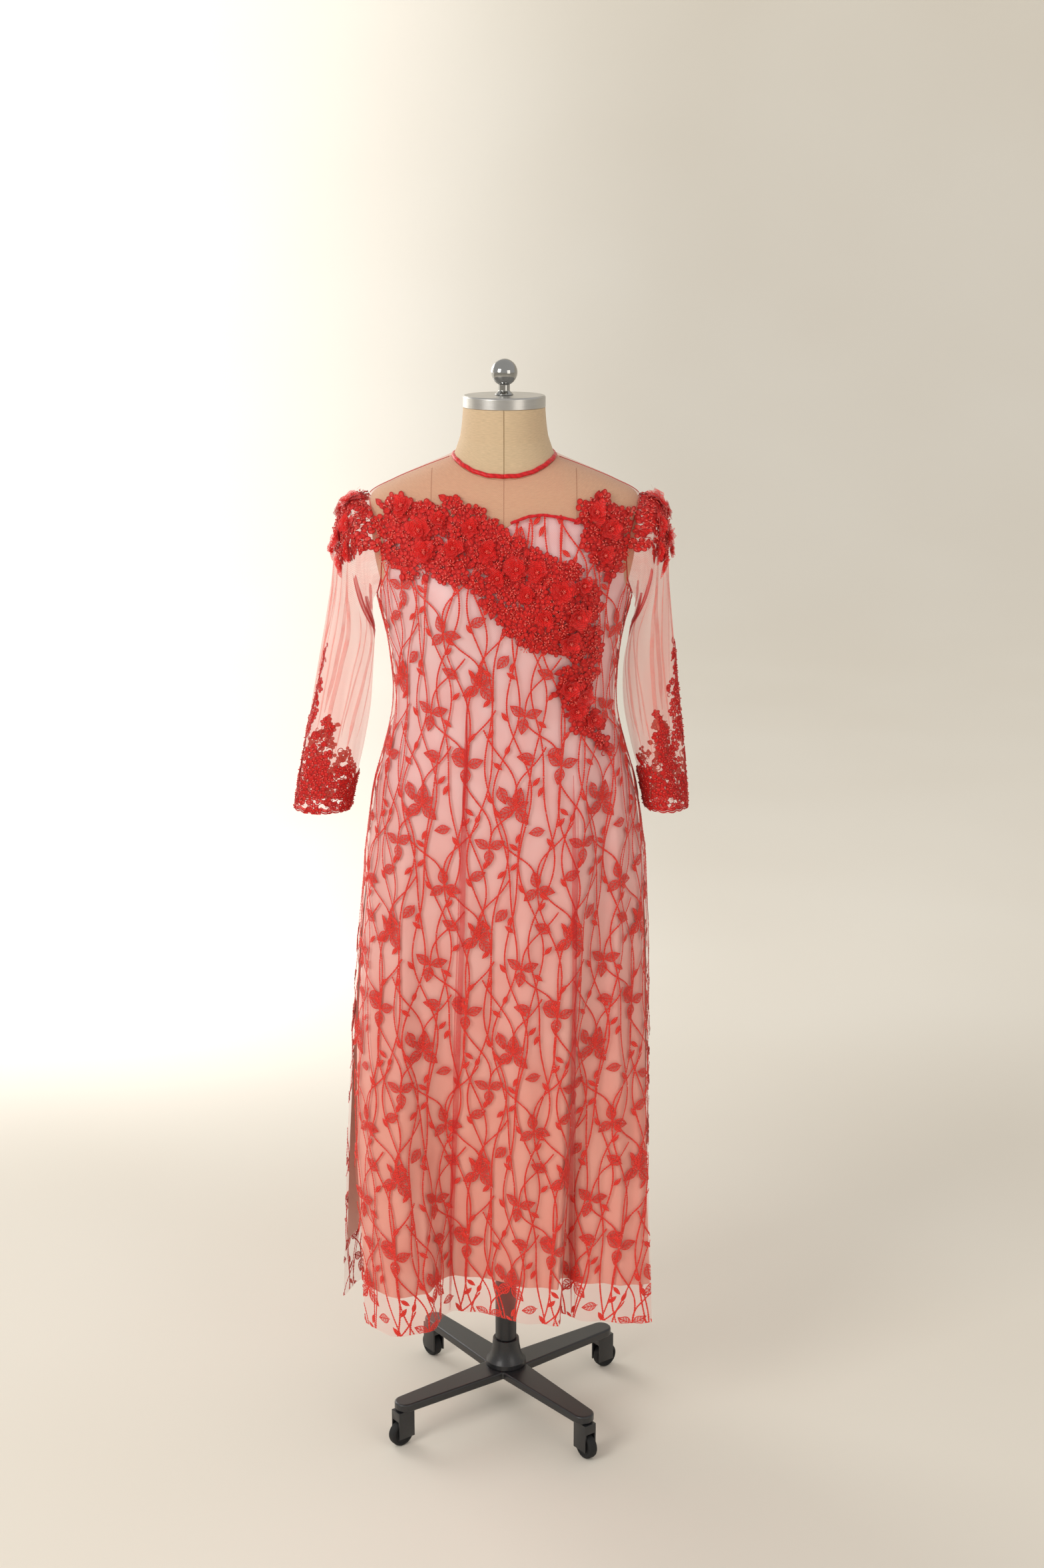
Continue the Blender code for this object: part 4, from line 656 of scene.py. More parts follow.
def fold_depth(x, z, folds):
    """How far the soft folds bring the cloth out at x and z."""
    total = np.zeros(np.shape(x))
    for top_x, top_z, low_x, low_z, wide, deep in folds.rows:
        share = np.clip((top_z - z) / (top_z - low_z), 0, 1)
        off = (x - top_x - (low_x - top_x) * share) / wide
        start = np.clip((top_z - z) / FOLD_FADE, 0, 1)
        end = np.clip((z - low_z) / FOLD_FADE + (0 if low_z > HIP_Z else 1), 0, 1)
        total += deep * np.exp(-off * off) * start * start * (3 - 2 * start) * end
    return total


def panel(across, z, is_front):
    """Points of the front or back panel: the worn surface down to the hip, then free cloth."""
    hem, flat, hem_z, folds = (FRONT_HEM, FRONT_HEM_FLAT, FRONT_HEM_Z, FRONT_FOLDS) if is_front else (
        BACK_HEM, BACK_HEM_FLAT, BACK_HEM_Z, BACK_FOLDS)
    turn = front_angle if is_front else back_angle
    points = worn(turn(across, side_limit(z)), np.maximum(z, HIP_Z))
    points[..., 2] = z
    flat_x, flat_y = hem_flat(across, hem, flat)
    hem_x, hem_y = hem_point(across, hem)
    fall = np.clip((HIP_Z - z) / (HIP_Z - hem_z), 0, None)
    if is_front:
        swing = np.where(across < 0, SWING.straight("front_right", z), SWING.straight("front_left", z))
    else:
        swing = -SWING.straight("back", z)
    points[..., 0] += (flat_x - points[..., 0]) * fall
    points[..., 0] += np.where(z < HIP_Z, np.sign(across) * swing * np.abs(across) ** 3, 0)
    points[..., 1] += (flat_y - points[..., 1]) * fall
    growth = np.clip((FOLD_TOP_Z - z) / (FOLD_TOP_Z - hem_z), 0, None) ** 1.1
    points[..., 0] += (hem_x - flat_x) * growth
    points[..., 1] += (hem_y - flat_y) * growth
    depth = fold_depth(points[..., 0], z, folds) * (1 - np.abs(across) ** 8)
    points[..., 1] += -depth if is_front else depth
    return points


def front_panel(across, z):
    return panel(across, z, True)


def back_panel(across, z):
    return panel(across, z, False)


def sweetheart_z(x):
    return SWEETHEART.straight("z", np.abs(x))


def sweetheart_edge(across):
    """The height of the sweetheart edge at shares across the front."""
    angle = front_angle(across, side_limit(BACK_EDGE_Z))
    return sweetheart_z(worn(angle, SWEETHEART_MIDDLE_Z)[..., 0])


def at_axis(points):
    return points + np.array((AXIS_X, AXIS_Y, 0))


def unit(vectors):
    return vectors / np.maximum(np.linalg.norm(vectors, axis=-1, keepdims=True), 1e-9)


def moved_in(place, a, b, inward):
    """Points of a surface moved inward along its normals, found by small steps."""
    step = 0.002
    along = place(a + step, b) - place(a - step, b)
    up = place(a, b + step) - place(a, b - step)
    return place(a, b) - unit(np.cross(along, up)) * inward


# Sleeve surface
def armhole(side, turn):
    """The armhole's edge at any turn, from the shoulder tip down the front and up the back."""
    heights = np.array(ARMHOLE_HEIGHTS)
    limit = side_limit(heights)
    front, back = worn(limit, heights), worn(math.pi - limit, heights)
    corners = np.concatenate((front, back[-2:0:-1], front[:1]))
    place = (turn % 1.0) * (len(corners) - 1)
    ring = np.stack([np.interp(place, np.arange(len(corners)), corners[:, k]) for k in range(3)], axis=-1)
    ring[..., 0] = side * (ring[..., 0] + SLEEVE_SEAM)
    return ring


def sleeve(side, turn, position):
    """Sleeve points: turn 0 is the outer line and a quarter the front; position 0 is the armhole."""
    table = LEFT_SLEEVE if side > 0 else RIGHT_SLEEVE
    row = np.maximum(position, 1.0) - 1
    outer_x, outer_z, inner_x, inner_z, half_y, fold = (table.smooth(c, row) for c in SLEEVE_COLUMNS)
    angle = math.tau * turn
    open_side = (1 + np.cos(angle)) / 2
    wave = fold * np.cos(SLEEVE_WAVES * angle + 0.5 * (row + 1) + side) * (0.25 + 0.75 * open_side)
    half_x, half_z = (outer_x - inner_x) / 2, (outer_z - inner_z) / 2
    grow = 1 + wave / np.hypot(half_x, half_z)
    ring = np.stack((
        side * ((outer_x + inner_x) / 2 + half_x * np.cos(angle) * grow),
        -half_y * np.sin(angle) * (1 + wave / half_y),
        (outer_z + inner_z) / 2 + half_z * np.cos(angle) * grow), axis=-1)
    edge = armhole(side, turn)
    return edge + (ring - edge) * np.clip(position, 0, 1)[..., None]


def sleeve_lengths(side):
    """Metres up from the cuff along the outer line, and the position at each."""
    position = np.linspace(SLEEVE_END, 0, 201)
    line = sleeve(side, np.zeros(201), position)
    steps = np.linalg.norm(np.diff(line, axis=0), axis=-1)
    return np.concatenate(([0], np.cumsum(steps))), position


# Flat lace laid on a cloth
def sample(grid, column, row):
    """Values of a grid between its nodes, at column and row numbers with a fraction."""
    column = np.clip(column, 0, grid.shape[1] - 1.0001)
    row = np.clip(row, 0, grid.shape[0] - 1.0001)
    c, r = column.astype(int), row.astype(int)
    x, y = column - c, row - r
    if grid.ndim == 3:
        x, y = x[..., None], y[..., None]
    lower = grid[r, c] * (1 - x) + grid[r, c + 1] * x
    upper = grid[r + 1, c] * (1 - x) + grid[r + 1, c + 1] * x
    return lower * (1 - y) + upper * y


class Cloth:
    """A cloth surface read by flat coordinates: metres across from its middle line, and metres up."""

    def __init__(self, place, low, high, by_x=False, keep=None):
        across, up = np.meshgrid(np.linspace(-1, 1, CLOTH_COLUMNS), np.linspace(low, high, CLOTH_ROWS))
        self.low, self.high, self.keep = low, high, keep
        self.points = place(across, up)
        along, rise = np.gradient(self.points, axis=1), np.gradient(self.points, axis=0)
        self.normals = unit(np.cross(along, rise))
        if by_x:
            measure = self.points[..., 0]
        else:
            steps = np.linalg.norm(np.diff(self.points, axis=1), axis=-1)
            measure = np.concatenate((np.zeros((CLOTH_ROWS, 1)), np.cumsum(steps, axis=1)), axis=1)
            measure -= measure[:, CLOTH_COLUMNS // 2, None]
        self.ends = measure[:, 0], measure[:, -1]
        marks = np.linspace(-CLOTH_REACH, CLOTH_REACH, CLOTH_MARKS)
        columns = np.arange(CLOTH_COLUMNS)
        self.columns = np.stack([np.interp(marks, row, columns) for row in measure])

    def row(self, v):
        return (v - self.low) / (self.high - self.low) * (CLOTH_ROWS - 1)

    def at(self, u, v, height):
        """Points at flat places, lifted along the normal."""
        row = self.row(v)
        mark = (u + CLOTH_REACH) / (2 * CLOTH_REACH) * (CLOTH_MARKS - 1)
        column = sample(self.columns, mark, row)
        here = sample(self.points, column, row)
        return here + unit(sample(self.normals, column, row)) * np.asarray(height)[..., None]

    def holds(self, u, v):
        row = self.row(v)
        first, last = (np.interp(row, np.arange(CLOTH_ROWS), end) for end in self.ends)
        inside = (u > first) & (u < last) & (v >= self.low) & (v <= self.high)
        return inside & self.keep(u, v) if self.keep else inside


def shape_arrays(shape, middle=0.0):
    """The points and faces of a bmesh as arrays, with -1 for the corner that a triangle lacks."""
    shape.verts.index_update()
    points = np.array([v.co[:] for v in shape.verts])
    faces = np.array([[v.index for v in f.verts] + [-1] * (4 - len(f.verts)) for f in shape.faces])
    shape.free()
    return points + (middle, middle, 0), faces


@functools.lru_cache(maxsize=None)
def grid_arrays(columns, rows):
    """A plane grid as shares across and up it, and its faces."""
    shape = bmesh.new()
    bmesh.ops.create_grid(shape, x_segments=columns, y_segments=rows, size=0.5)
    return shape_arrays(shape, 0.5)


@functools.lru_cache(maxsize=None)
def ball_arrays():
    shape = bmesh.new()
    bmesh.ops.create_icosphere(shape, subdivisions=1, radius=1)
    return shape_arrays(shape)


class Batch:
    """Small shapes joined into one mesh from arrays: points, faces, UVs in metres and materials."""

    def __init__(self):
        self.parts = []

    def add(self, points, faces, uv, slot=0):
        self.parts.append((points, faces, uv, np.broadcast_to(slot, len(faces))))

    def joined(self):
        """All the shapes as one set of arrays."""
        starts = np.cumsum([0] + [len(part[0]) for part in self.parts[:-1]])
        return (
            np.concatenate([part[0] for part in self.parts]),
            np.concatenate([np.where(part[1] >= 0, part[1] + k, -1) for part, k in zip(self.parts, starts)]),
            np.concatenate([part[2] for part in self.parts]),
            np.concatenate([part[3] for part in self.parts]),
        )

    def ribbon(self, path, half, rise, slot=0, closed=False):
        """A low ridge along a flat path, whose points may have a height too."""
        path = np.asarray(path, float)
        if path.shape[1] == 2:
            path = np.column_stack((path, np.zeros(len(path))))
        count = len(path) - 1
        grid, faces = grid_arrays(count, 2)
        k = np.rint(grid[:, 0] * count).astype(int)
        way = np.gradient(path[:, :2], axis=0)
        if closed:
            way[0] = way[-1] = path[1, :2] - path[-2, :2]
        way = unit(way)
        side = np.stack((-way[:, 1], way[:, 0]), axis=-1)
        lengths = np.concatenate(([0], np.cumsum(np.linalg.norm(np.diff(path, axis=0), axis=1))))
        half, rise = np.broadcast_to(half, len(path)), np.broadcast_to(rise, len(path))
        offset = 2 * grid[:, 1] - 1
        flat = path[k, :2] + side[k] * (offset * half[k])[:, None]
        height = path[k, 2] + np.where(np.abs(offset) < 0.5, rise[k], 0)
        uv = np.column_stack((lengths[k], offset * half[k]))
        self.add(np.column_stack((flat, height)), faces, uv, slot)

    def blade(self, length, half, rise, slot=0, columns=2, rows=5, base=0.0, droop=0.0, cup=0.0):
        """A leaf or petal from the origin along +Y, cupped across and bent up towards its tip."""
        grid, faces = grid_arrays(columns, rows)
        across, along = 2 * grid[:, 0] - 1, grid[:, 1]
        arch = np.sin(math.pi * along)
        x = across * half * np.sin(math.pi * along ** 0.85) ** 0.8
        h = rise * arch * (1 - across * across) + cup * across * across * arch + droop * along * along
        y = base + along * length
        self.add(np.column_stack((x, y, h)), faces, np.column_stack((x, y)), slot)

    def bead(self, x, y, radius, height=0.0, slot=0, stretch=1.0):
        points, faces = ball_arrays()
        placed = points * (radius, radius * stretch, radius) + (x, y, height + radius)
        self.add(placed, faces, points[:, :2] * radius, slot)

    def disc(self, x, y, half_x, half_y, turn, rise, slot=0):
        """A filled petal: a low dome on an oval."""
        grid, faces = grid_arrays(2, 2)
        a, b = 2 * grid[:, 0] - 1, 2 * grid[:, 1] - 1
        round_a, round_b = a * np.sqrt(1 - b * b / 2), b * np.sqrt(1 - a * a / 2)
        dx, dy = round_a * half_x, round_b * half_y
        px = x + dx * math.cos(turn) - dy * math.sin(turn)
        py = y + dx * math.sin(turn) + dy * math.cos(turn)
        h = rise * (1 - round_a ** 2 - round_b ** 2)
        self.add(np.column_stack((px, py, h)), faces, np.column_stack((px, py)), slot)

    def turned(self, other, turn, size=1.0, x=0.0, y=0.0):
        """Adds a motif turned and moved on the flat."""
        points, faces, uv, slots = other
        cos, sin = math.cos(turn), math.sin(turn)
        px = x + size * (points[:, 0] * cos - points[:, 1] * sin)
        py = y + size * (points[:, 0] * sin + points[:, 1] * cos)
        self.add(np.column_stack((px, py, points[:, 2] * size)), faces, uv, slots)


def lay(batch, cloth, flat, faces, uv, slots):
    """Lays flat shapes on a cloth and drops the faces that lie wholly beyond its edges."""
    inside = cloth.holds(flat[:, 0], flat[:, 1])
    kept = (inside[faces] & (faces >= 0)).any(axis=1)
    if kept.any():
        batch.add(cloth.at(flat[:, 0], flat[:, 1], flat[:, 2]), faces[kept], uv, slots[kept])


def stamp(batch, cloth, motif, places):
    """Lays copies of a flat motif on a cloth. A place has u, v, turn, size and lift."""
    places = np.asarray(places, float).reshape(-1, 5)
    if not len(places):
        return
    points, faces, uv, slots = motif
    u0, v0, turn, size, lift = places.T[..., None]
    x, y, h = points.T
    flat = np.stack((u0 + size * (x * np.cos(turn) - y * np.sin(turn)),
                     v0 + size * (x * np.sin(turn) + y * np.cos(turn)), lift + size * h), axis=-1)
    count = len(places)
    shift = np.arange(count)[:, None, None] * len(points)
    many = np.where(faces >= 0, faces + shift, -1).reshape(-1, 4)
    lay(batch, cloth, flat.reshape(-1, 3), many, np.tile(uv, (count, 1)), np.tile(slots, count))


def lay_all(batch, cloth, motif, lift=0.0):
    stamp(batch, cloth, motif, [(0, 0, 0, 1, lift)])


def batch_object(name, batch, *materials):
    """One mesh object from a batch, without the points that no face uses."""
    points, faces, uv, slots = batch.joined()
    used, index = np.unique(faces[faces >= 0], return_inverse=True)
    faces = faces.copy()
    faces[faces >= 0] = index.ravel()
    points, uv = points[used], uv[used]
    corners = faces[faces >= 0]
    sizes = (faces >= 0).sum(axis=1)
    mesh = bpy.data.meshes.new(name)
    mesh.vertices.add(len(points))
    mesh.vertices.foreach_set("co", at_axis(points).astype(np.float32).ravel())
    mesh.loops.add(len(corners))
    mesh.loops.foreach_set("vertex_index", corners.astype(np.int32))
    mesh.polygons.add(len(sizes))
    mesh.polygons.foreach_set("loop_start", np.concatenate(([0], np.cumsum(sizes)[:-1])).astype(np.int32))
    mesh.polygons.foreach_set("material_index", slots.astype(np.int32))
    layer = mesh.uv_layers.new(name="cloth")
    layer.data.foreach_set("uv", uv[corners].astype(np.float32).ravel())
    mesh.update(calc_edges=True)
    return link(name, mesh, *materials)


def link(name, mesh, *materials):
    mesh.shade_smooth()
    for one in materials:
        mesh.materials.append(one)
    made = bpy.data.objects.new(name, mesh)
    bpy.context.scene.collection.objects.link(made)
    return made


def grid_object(name, columns, rows, place, material, merge=False):
    """A plane grid mapped by place(s, t), with UVs in metres along the cloth."""
    grid, faces = grid_arrays(columns, rows)
    points = place(grid[:, 0], grid[:, 1])
    column = np.rint(grid[:, 0] * columns).astype(int)
    row = np.rint(grid[:, 1] * rows).astype(int)
    net = np.zeros((rows + 1, columns + 1, 3))
    net[row, column] = points
    across = np.linalg.norm(np.diff(net, axis=1), axis=-1)
    across = np.concatenate((np.zeros((rows + 1, 1)), np.cumsum(across, axis=1)), axis=1)
    across -= across[:, columns // 2, None]
    up = np.linalg.norm(np.diff(net[:, columns // 2], axis=0), axis=-1)
    up = np.concatenate(([0], np.cumsum(up)))
    batch = Batch()
    batch.add(points, faces, np.column_stack((across[row, column], up[row])))
    made = batch_object(name, batch, material)
    if merge:
        reworked(made.data, weld)
    return made


def reworked(mesh, work):
    """Does some work on a bmesh of a mesh and writes it back."""
    shape = bmesh.new()
    shape.from_mesh(mesh)
    work(shape)
    shape.to_mesh(mesh)
    shape.free()


def weld(shape):
    bmesh.ops.remove_doubles(shape, verts=shape.verts, dist=0.00005)


def finish_piece(piece, body, slot, *nodes):
    """Says what a piece moves with and stands for. Its slot is not used."""
    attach(piece, body)
    if nodes:
        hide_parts(*nodes)


# Materials
def per_metre(millimetres):
    """A texture's scale for a pattern that repeats every so many millimetres, on coordinates in metres."""
    return 1000 / millimetres


def band_scale(millimetres):
    """A wave texture's scale for bands so many millimetres apart. The node counts 20 radians a unit."""
    return per_metre(millimetres) * math.tau / 20


def add_node(tree, kind, settings=None, links=None):
    """Adds a shader node with its settings, by socket or attribute, and the links into it."""
    node = tree.nodes.new("ShaderNode" + kind)
    for name, value in (settings or {}).items():
        if isinstance(name, int) or name in node.inputs:
            node.inputs[name].default_value = value
        else:
            setattr(node, name, value)
    for name, source in (links or {}).items():
        tree.links.new(source, node.inputs[name])
    return node


def new_material(name, **sockets):
    """A material with its Principled shader, whose constant sockets are set here."""
    made = bpy.data.materials.new(name)
    made.use_nodes = True
    tree = made.node_tree
    shader = tree.nodes["Principled BSDF"]
    for socket, value in sockets.items():
        shader.inputs[socket.replace("_", " ")].default_value = value
    return made, tree, shader


def coordinates(tree, kind, turn=0.0, scale=(1, 1, 1)):
    """Texture coordinates of a kind, turned by degrees and scaled."""
    place = add_node(tree, "TexCoord").outputs[kind]
    settings = {"Rotation": (0, 0, math.radians(turn)), "Scale": scale}
    return add_node(tree, "Mapping", settings, {"Vector": place}).outputs["Vector"]


def noise(tree, place, scale, detail):
    return add_node(tree, "TexNoise", {"Scale": scale, "Detail": detail}, {"Vector": place}).outputs["Fac"]


def waves(tree, place, millimetres, wander, detail=1.0):
    """Bands so many millimetres apart."""
    settings = {"Scale": band_scale(millimetres), "Distortion": wander, "Detail": detail}
    return add_node(tree, "TexWave", settings, {"Vector": place}).outputs["Fac"]


def ranged(tree, value, low, high, to_low=0.0, to_high=1.0, curve="LINEAR"):
    """A value of one range mapped to another."""
    settings = {"interpolation_type": curve, "From Min": low, "From Max": high, "To Min": to_low,
                "To Max": to_high}
    return add_node(tree, "MapRange", settings, {"Value": value}).outputs["Result"]


def maths(tree, operation, *values):
    """A maths node on numbers and sockets."""
    node = add_node(tree, "Math", {"operation": operation})
    for k, value in enumerate(values):
        if isinstance(value, float):
            node.inputs[k].default_value = value
        else:
            tree.links.new(value, node.inputs[k])
    return node.outputs["Value"]


def ramp(tree, source, *stops):
    """A colour ramp with stops of place and colour."""
    node = add_node(tree, "ValToRGB", None, {"Fac": source})
    while len(node.color_ramp.elements) < len(stops):
        node.color_ramp.elements.new(0.5)
    for element, (place, colour) in zip(node.color_ramp.elements, stops):
        element.position = place
        element.color = (*colour, 1)
    return node.outputs["Color"]


def bump(tree, shader, source, strength, millimetres):
    node = add_node(tree, "Bump", {"Strength": strength, "Distance": millimetres / 1000},
                    {"Height": source})
    tree.links.new(node.outputs["Normal"], shader.inputs["Normal"])


def shade(colour, factor):
    return tuple(min(1.0, c * factor) for c in colour)


def palette():
    return bpy.context.scene.tunic_colours


def fibre(name, colour, millimetres, dark=0.7, light=1.15, turn=0.0, roughness=0.42, sheen=0.1, strength=0.4,
          wander=1.5, glints=0.0, clear=1.0):
    """Thread or cloth with close ridges: painted shade between them and painted highlight on their crests,
    with painted glints, and clear there if asked.
    """
    made, tree, shader = new_material(name, Roughness=roughness, Sheen_Weight=sheen, Specular_IOR_Level=0.3)
    ridges = waves(tree, coordinates(tree, "UV", turn), millimetres, wander)
    # Painted shade between the ridges and painted highlight on their crests
    body = ramp(tree, ridges, (0.05, shade(colour, dark)), (0.75, shade(colour, light)))
    # Painted glints: specks of a paler colour where gloss would catch the light
    if glints:
        grains = noise(tree, coordinates(tree, "UV"), per_metre(2.2), 2.0)
        bright = ranged(tree, grains, 0.60, 0.70, 0.0, glints)
        body = add_node(tree, "Mix", {"data_type": "RGBA", 7: (*palette().glint, 1)},
                        {0: bright, 6: body}).outputs[2]
    tree.links.new(body, shader.inputs["Base Color"])
    if clear < 1:
        cover = ranged(tree, ridges, 0.0, 0.6, clear, min(1, clear + 0.3))
        tree.links.new(cover, shader.inputs["Alpha"])
    bump(tree, shader, ridges, strength, 0.4)
    return made


def net_cloth(name, colour, thin, thick, gathers=False):
    """Nylon tulle, drawn with threads 2 mm apart because the real 0.8 mm mesh is too fine for the picture."""
    made, tree, shader = new_material(name, Roughness=0.6, Sheen_Weight=0.3, Sheen_Roughness=0.45)
    threads = waves(tree, coordinates(tree, "UV", 38), 2.0, 1.2)
    spread = (34.0, 2.0, 1.0) if gathers else (14.0, 14.0, 1.0)
    drift = noise(tree, coordinates(tree, "UV", 0, spread), 1.0, 3.0)
    cover = ranged(tree, maths(tree, "MULTIPLY_ADD", threads, 0.20, drift), 0.42, 0.82, thin, thick)
    tree.links.new(cover, shader.inputs["Alpha"])
    tree.links.new(ramp(tree, threads, (0.2, colour), (0.9, shade(colour, 0.86))),
                   shader.inputs["Base Color"])
    return made


def satin_cloth():
    """Polyester satin, a warp of bright filament: pale, with a soft long highlight on its folds."""
    colours = palette()
    made, tree, shader = new_material("polyester_satin", Roughness=0.40, Sheen_Weight=0.25)
    height = add_node(tree, "SeparateXYZ", None, {"Vector": coordinates(tree, "Object")}).outputs["Z"]
    cloth = coordinates(tree, "UV")
    share = ranged(tree, height, 0.55, 1.32)
    total = maths(tree, "MULTIPLY_ADD", noise(tree, cloth, 7.0, 3.0), 0.18, share)
    tree.links.new(ramp(tree, total, (0.09, tuple(colours.satin_skirt)), (1.0, tuple(colours.satin_top))),
                   shader.inputs["Base Color"])
    bump(tree, shader, waves(tree, cloth, 1.0, 0.8, 2.0), 0.06, 0.2)
    return made


def linen_cover():
    """Unbleached linen in plain weave, drawn 1.6 mm a thread pair, with slubs and a little wear."""
    colour = palette().linen
    made, tree, shader = new_material("unbleached_linen", Roughness=0.85, Sheen_Weight=0.15)
    streaks = noise(tree, coordinates(tree, "UV", 0, (1.0, 9.0, 1.0)), per_metre(9.0), 3.0)
    tree.links.new(ramp(tree, streaks, (0.3, shade(colour, 0.88)), (0.7, shade(colour, 1.07))),
                   shader.inputs["Base Color"])
    weave = add_node(tree, "TexBrick", {
        "Scale": per_metre(1.6), "offset": 0.5, "Mortar Size": 0.08, "Brick Width": 1.0, "Row Height": 0.5},
        {"Vector": coordinates(tree, "UV")})
    bump(tree, shader, weave.outputs["Fac"], 0.3, 0.3)
    return made


def hard(name, colour, roughness, metallic=0.0, grain=2.0, variation=0.08, strength=0.1, stretch=(1, 1, 1),
         **more):
    """A hard finish with fine grain, in millimetres, that varies its colour and roughness a little."""
    made, tree, shader = new_material(name, Metallic=metallic, **more)
    grains = noise(tree, coordinates(tree, "Object", 0, stretch), per_metre(grain), 4.0)
    body = ramp(tree, grains, (0.3, shade(colour, 1 - variation)), (0.7, shade(colour, 1 + variation)))
    tree.links.new(body, shader.inputs["Base Color"])
    rough = ranged(tree, grains, 0.0, 1.0, roughness * 0.8, roughness * 1.2)
    tree.links.new(rough, shader.inputs["Roughness"])
    bump(tree, shader, grains, strength, 0.1)
    return made


# Finishes, each with what the real one is and gives the eye
FINISHES = {
    # Nylon tulle over the form: one even layer, its colour 2.8 times the net's as painted light that offsets
    # the shade it casts on the linen
    "yoke_net": lambda: net_cloth("nylon_tulle", shade(palette().net, 2.8), 0.27, 0.37),
    # The ground of the embroidered lace, nearly clear over the satin
    "ground_net": lambda: net_cloth("lace_ground", palette().net, 0.12, 0.24),
    # Soft sleeve net, denser where it gathers
    "sleeve_net": lambda: net_cloth("soft_tulle", palette().net, 0.13, 0.38, True),
    # Three layers of net pressed into a fold: a deep red
    "folded_net": lambda: net_cloth("folded_tulle", palette().net_deep, 0.55, 0.85, True),
    # Two layers of the lace's ground in a soft pleat
    "pleated_net": lambda: net_cloth("pleated_tulle", palette().net_deep, 0.36, 0.64),
    # Two layers of sleeve net, a deeper pink line
    "creased_net": lambda: net_cloth("creased_tulle", palette().net, 0.26, 0.56),
    # Pale satin that shows through the lace
    "satin": satin_cloth,
    # Rayon thread in chain stitch: painted shade between the stitches, with tiny painted glints
    "thread": lambda: fibre("rayon_embroidery", palette().thread, 2.6, dark=0.75, light=1.2, glints=0.8,
                            roughness=0.38),
    # The same thread in open rows, which lets the net show, with painted shade between the rows
    "leaf_fill": lambda: fibre("open_stitch", palette().thread, 1.3, turn=60, wander=2.0, clear=0.22),
    # Rayon wound on a core, darker than the petals that it outlines, with painted shade between its wraps and
    # painted highlight on them
    "cord": lambda: fibre("gimp_cord", palette().cord, 1.4, light=1.25, wander=0.4),
    # Close satin stitch that fills a lace petal, with light between its threads, painted shade in their
    # grooves and painted glints
    "petal": lambda: fibre("satin_stitch", palette().petal, 1.2, turn=57, glints=0.7, clear=0.75,
                           wander=2.0),
    # Silk organza, crisp and half clear: petals glow where they overlap, with painted shade between its
    # ridges
    "organza": lambda: fibre("silk_organza", palette().organza, 2.2, dark=0.8, turn=90, roughness=0.35,
                             sheen=0.2, strength=0.15, wander=3.0, clear=0.38),
    # Cut glass lined with silver: hard small highlights
    "bead": lambda: hard("silver_lined_glass", palette().bead, 0.08, grain=4.0, variation=0.35, strength=0.02,
                         Coat_Weight=1.0),
    # Clear cut crystal
    "crystal": lambda: hard("clear_crystal", srgb("F4DCD8"), 0.06, grain=4.0, Coat_Weight=1.0),
    # Satin cut on the bias and rolled: faint slanting pulls, with painted shade in their troughs and painted
    # highlight on their crests
    "binding": lambda: fibre("bias_satin", palette().binding, 7.0, dark=0.82, light=1.1, turn=40,
                             roughness=0.36, strength=0.3, wander=3.0),
    # Unbleached linen over the padded form
    "linen": linen_cover,
    # Cotton thread sunk in a seam of the cover
    "seam": lambda: hard("seam_thread", srgb("8A6E4A"), 0.9),
    # Turned steel, brushed round its rim
    "brushed_steel": lambda: hard("brushed_steel", srgb("C2C0BC"), 0.32, 1.0, 0.9, 0.10, 0.15,
                                  (0.05, 0.05, 4.0)),
    # Polished chrome plate
    "chrome": lambda: hard("chrome_plate", srgb("A9A9A7"), 0.07, 1.0, 30.0, 0.03, 0.02),
    # Cast iron under satin black enamel
    "enamel": lambda: hard("black_enamel", srgb("1C1C1E"), 0.42, 0.0, 3.0, 0.25, 0.25, Coat_Weight=0.3,
                           Coat_Roughness=0.25),
    # Moulded rubber tyre
    "rubber": lambda: hard("moulded_rubber", srgb("141414"), 0.8, 0.0, 1.5, 0.3, 0.3),
    # Woven zip tape and coil dyed to match
    "tape": lambda: hard("zip_tape", srgb("B8161E"), 0.7, 0.0, 1.2, 0.15, 0.4),
}


@functools.lru_cache(maxsize=None)
def finish(name):
    """A finish made once and used again."""
    return FINISHES[name]()


# Cloth of the body
def panel_place(place, top, low_z, inward=0.0):
    """Maps a grid's shares to a panel, from its hem at low_z to its top edge."""
    def placed(s, t):
        across = np.clip(2 * s - 1, -EDGE_SHARE, EDGE_SHARE)
        z = low_z + (top(across) - low_z) * t
        return moved_in(place, across, z, inward) if inward else place(across, z)
    return placed


def back_top(across):
    return np.full(np.shape(across), BACK_EDGE_Z)


def yoke_place(turn, edge, side=0):
    """Maps a grid's shares to a yoke. A back half lies on one side of the zip."""
    def placed(s, t):
        if side:
            share = s if side > 0 else 1 - s
            across = side * (ZIP_SHARE + (EDGE_SHARE - ZIP_SHARE) * share)
        else:
            across = np.clip(2 * s - 1, -EDGE_SHARE, EDGE_SHARE)
        side_z = NECK_SIDE_Z + (BACK_EDGE_Z - NECK_SIDE_Z) * (1 - t)
        angle = turn(across, side_limit(side_z))
        top = neck_z(angle)
        return worn(angle, top + (edge(across) - top) * (1 - t))
    return placed


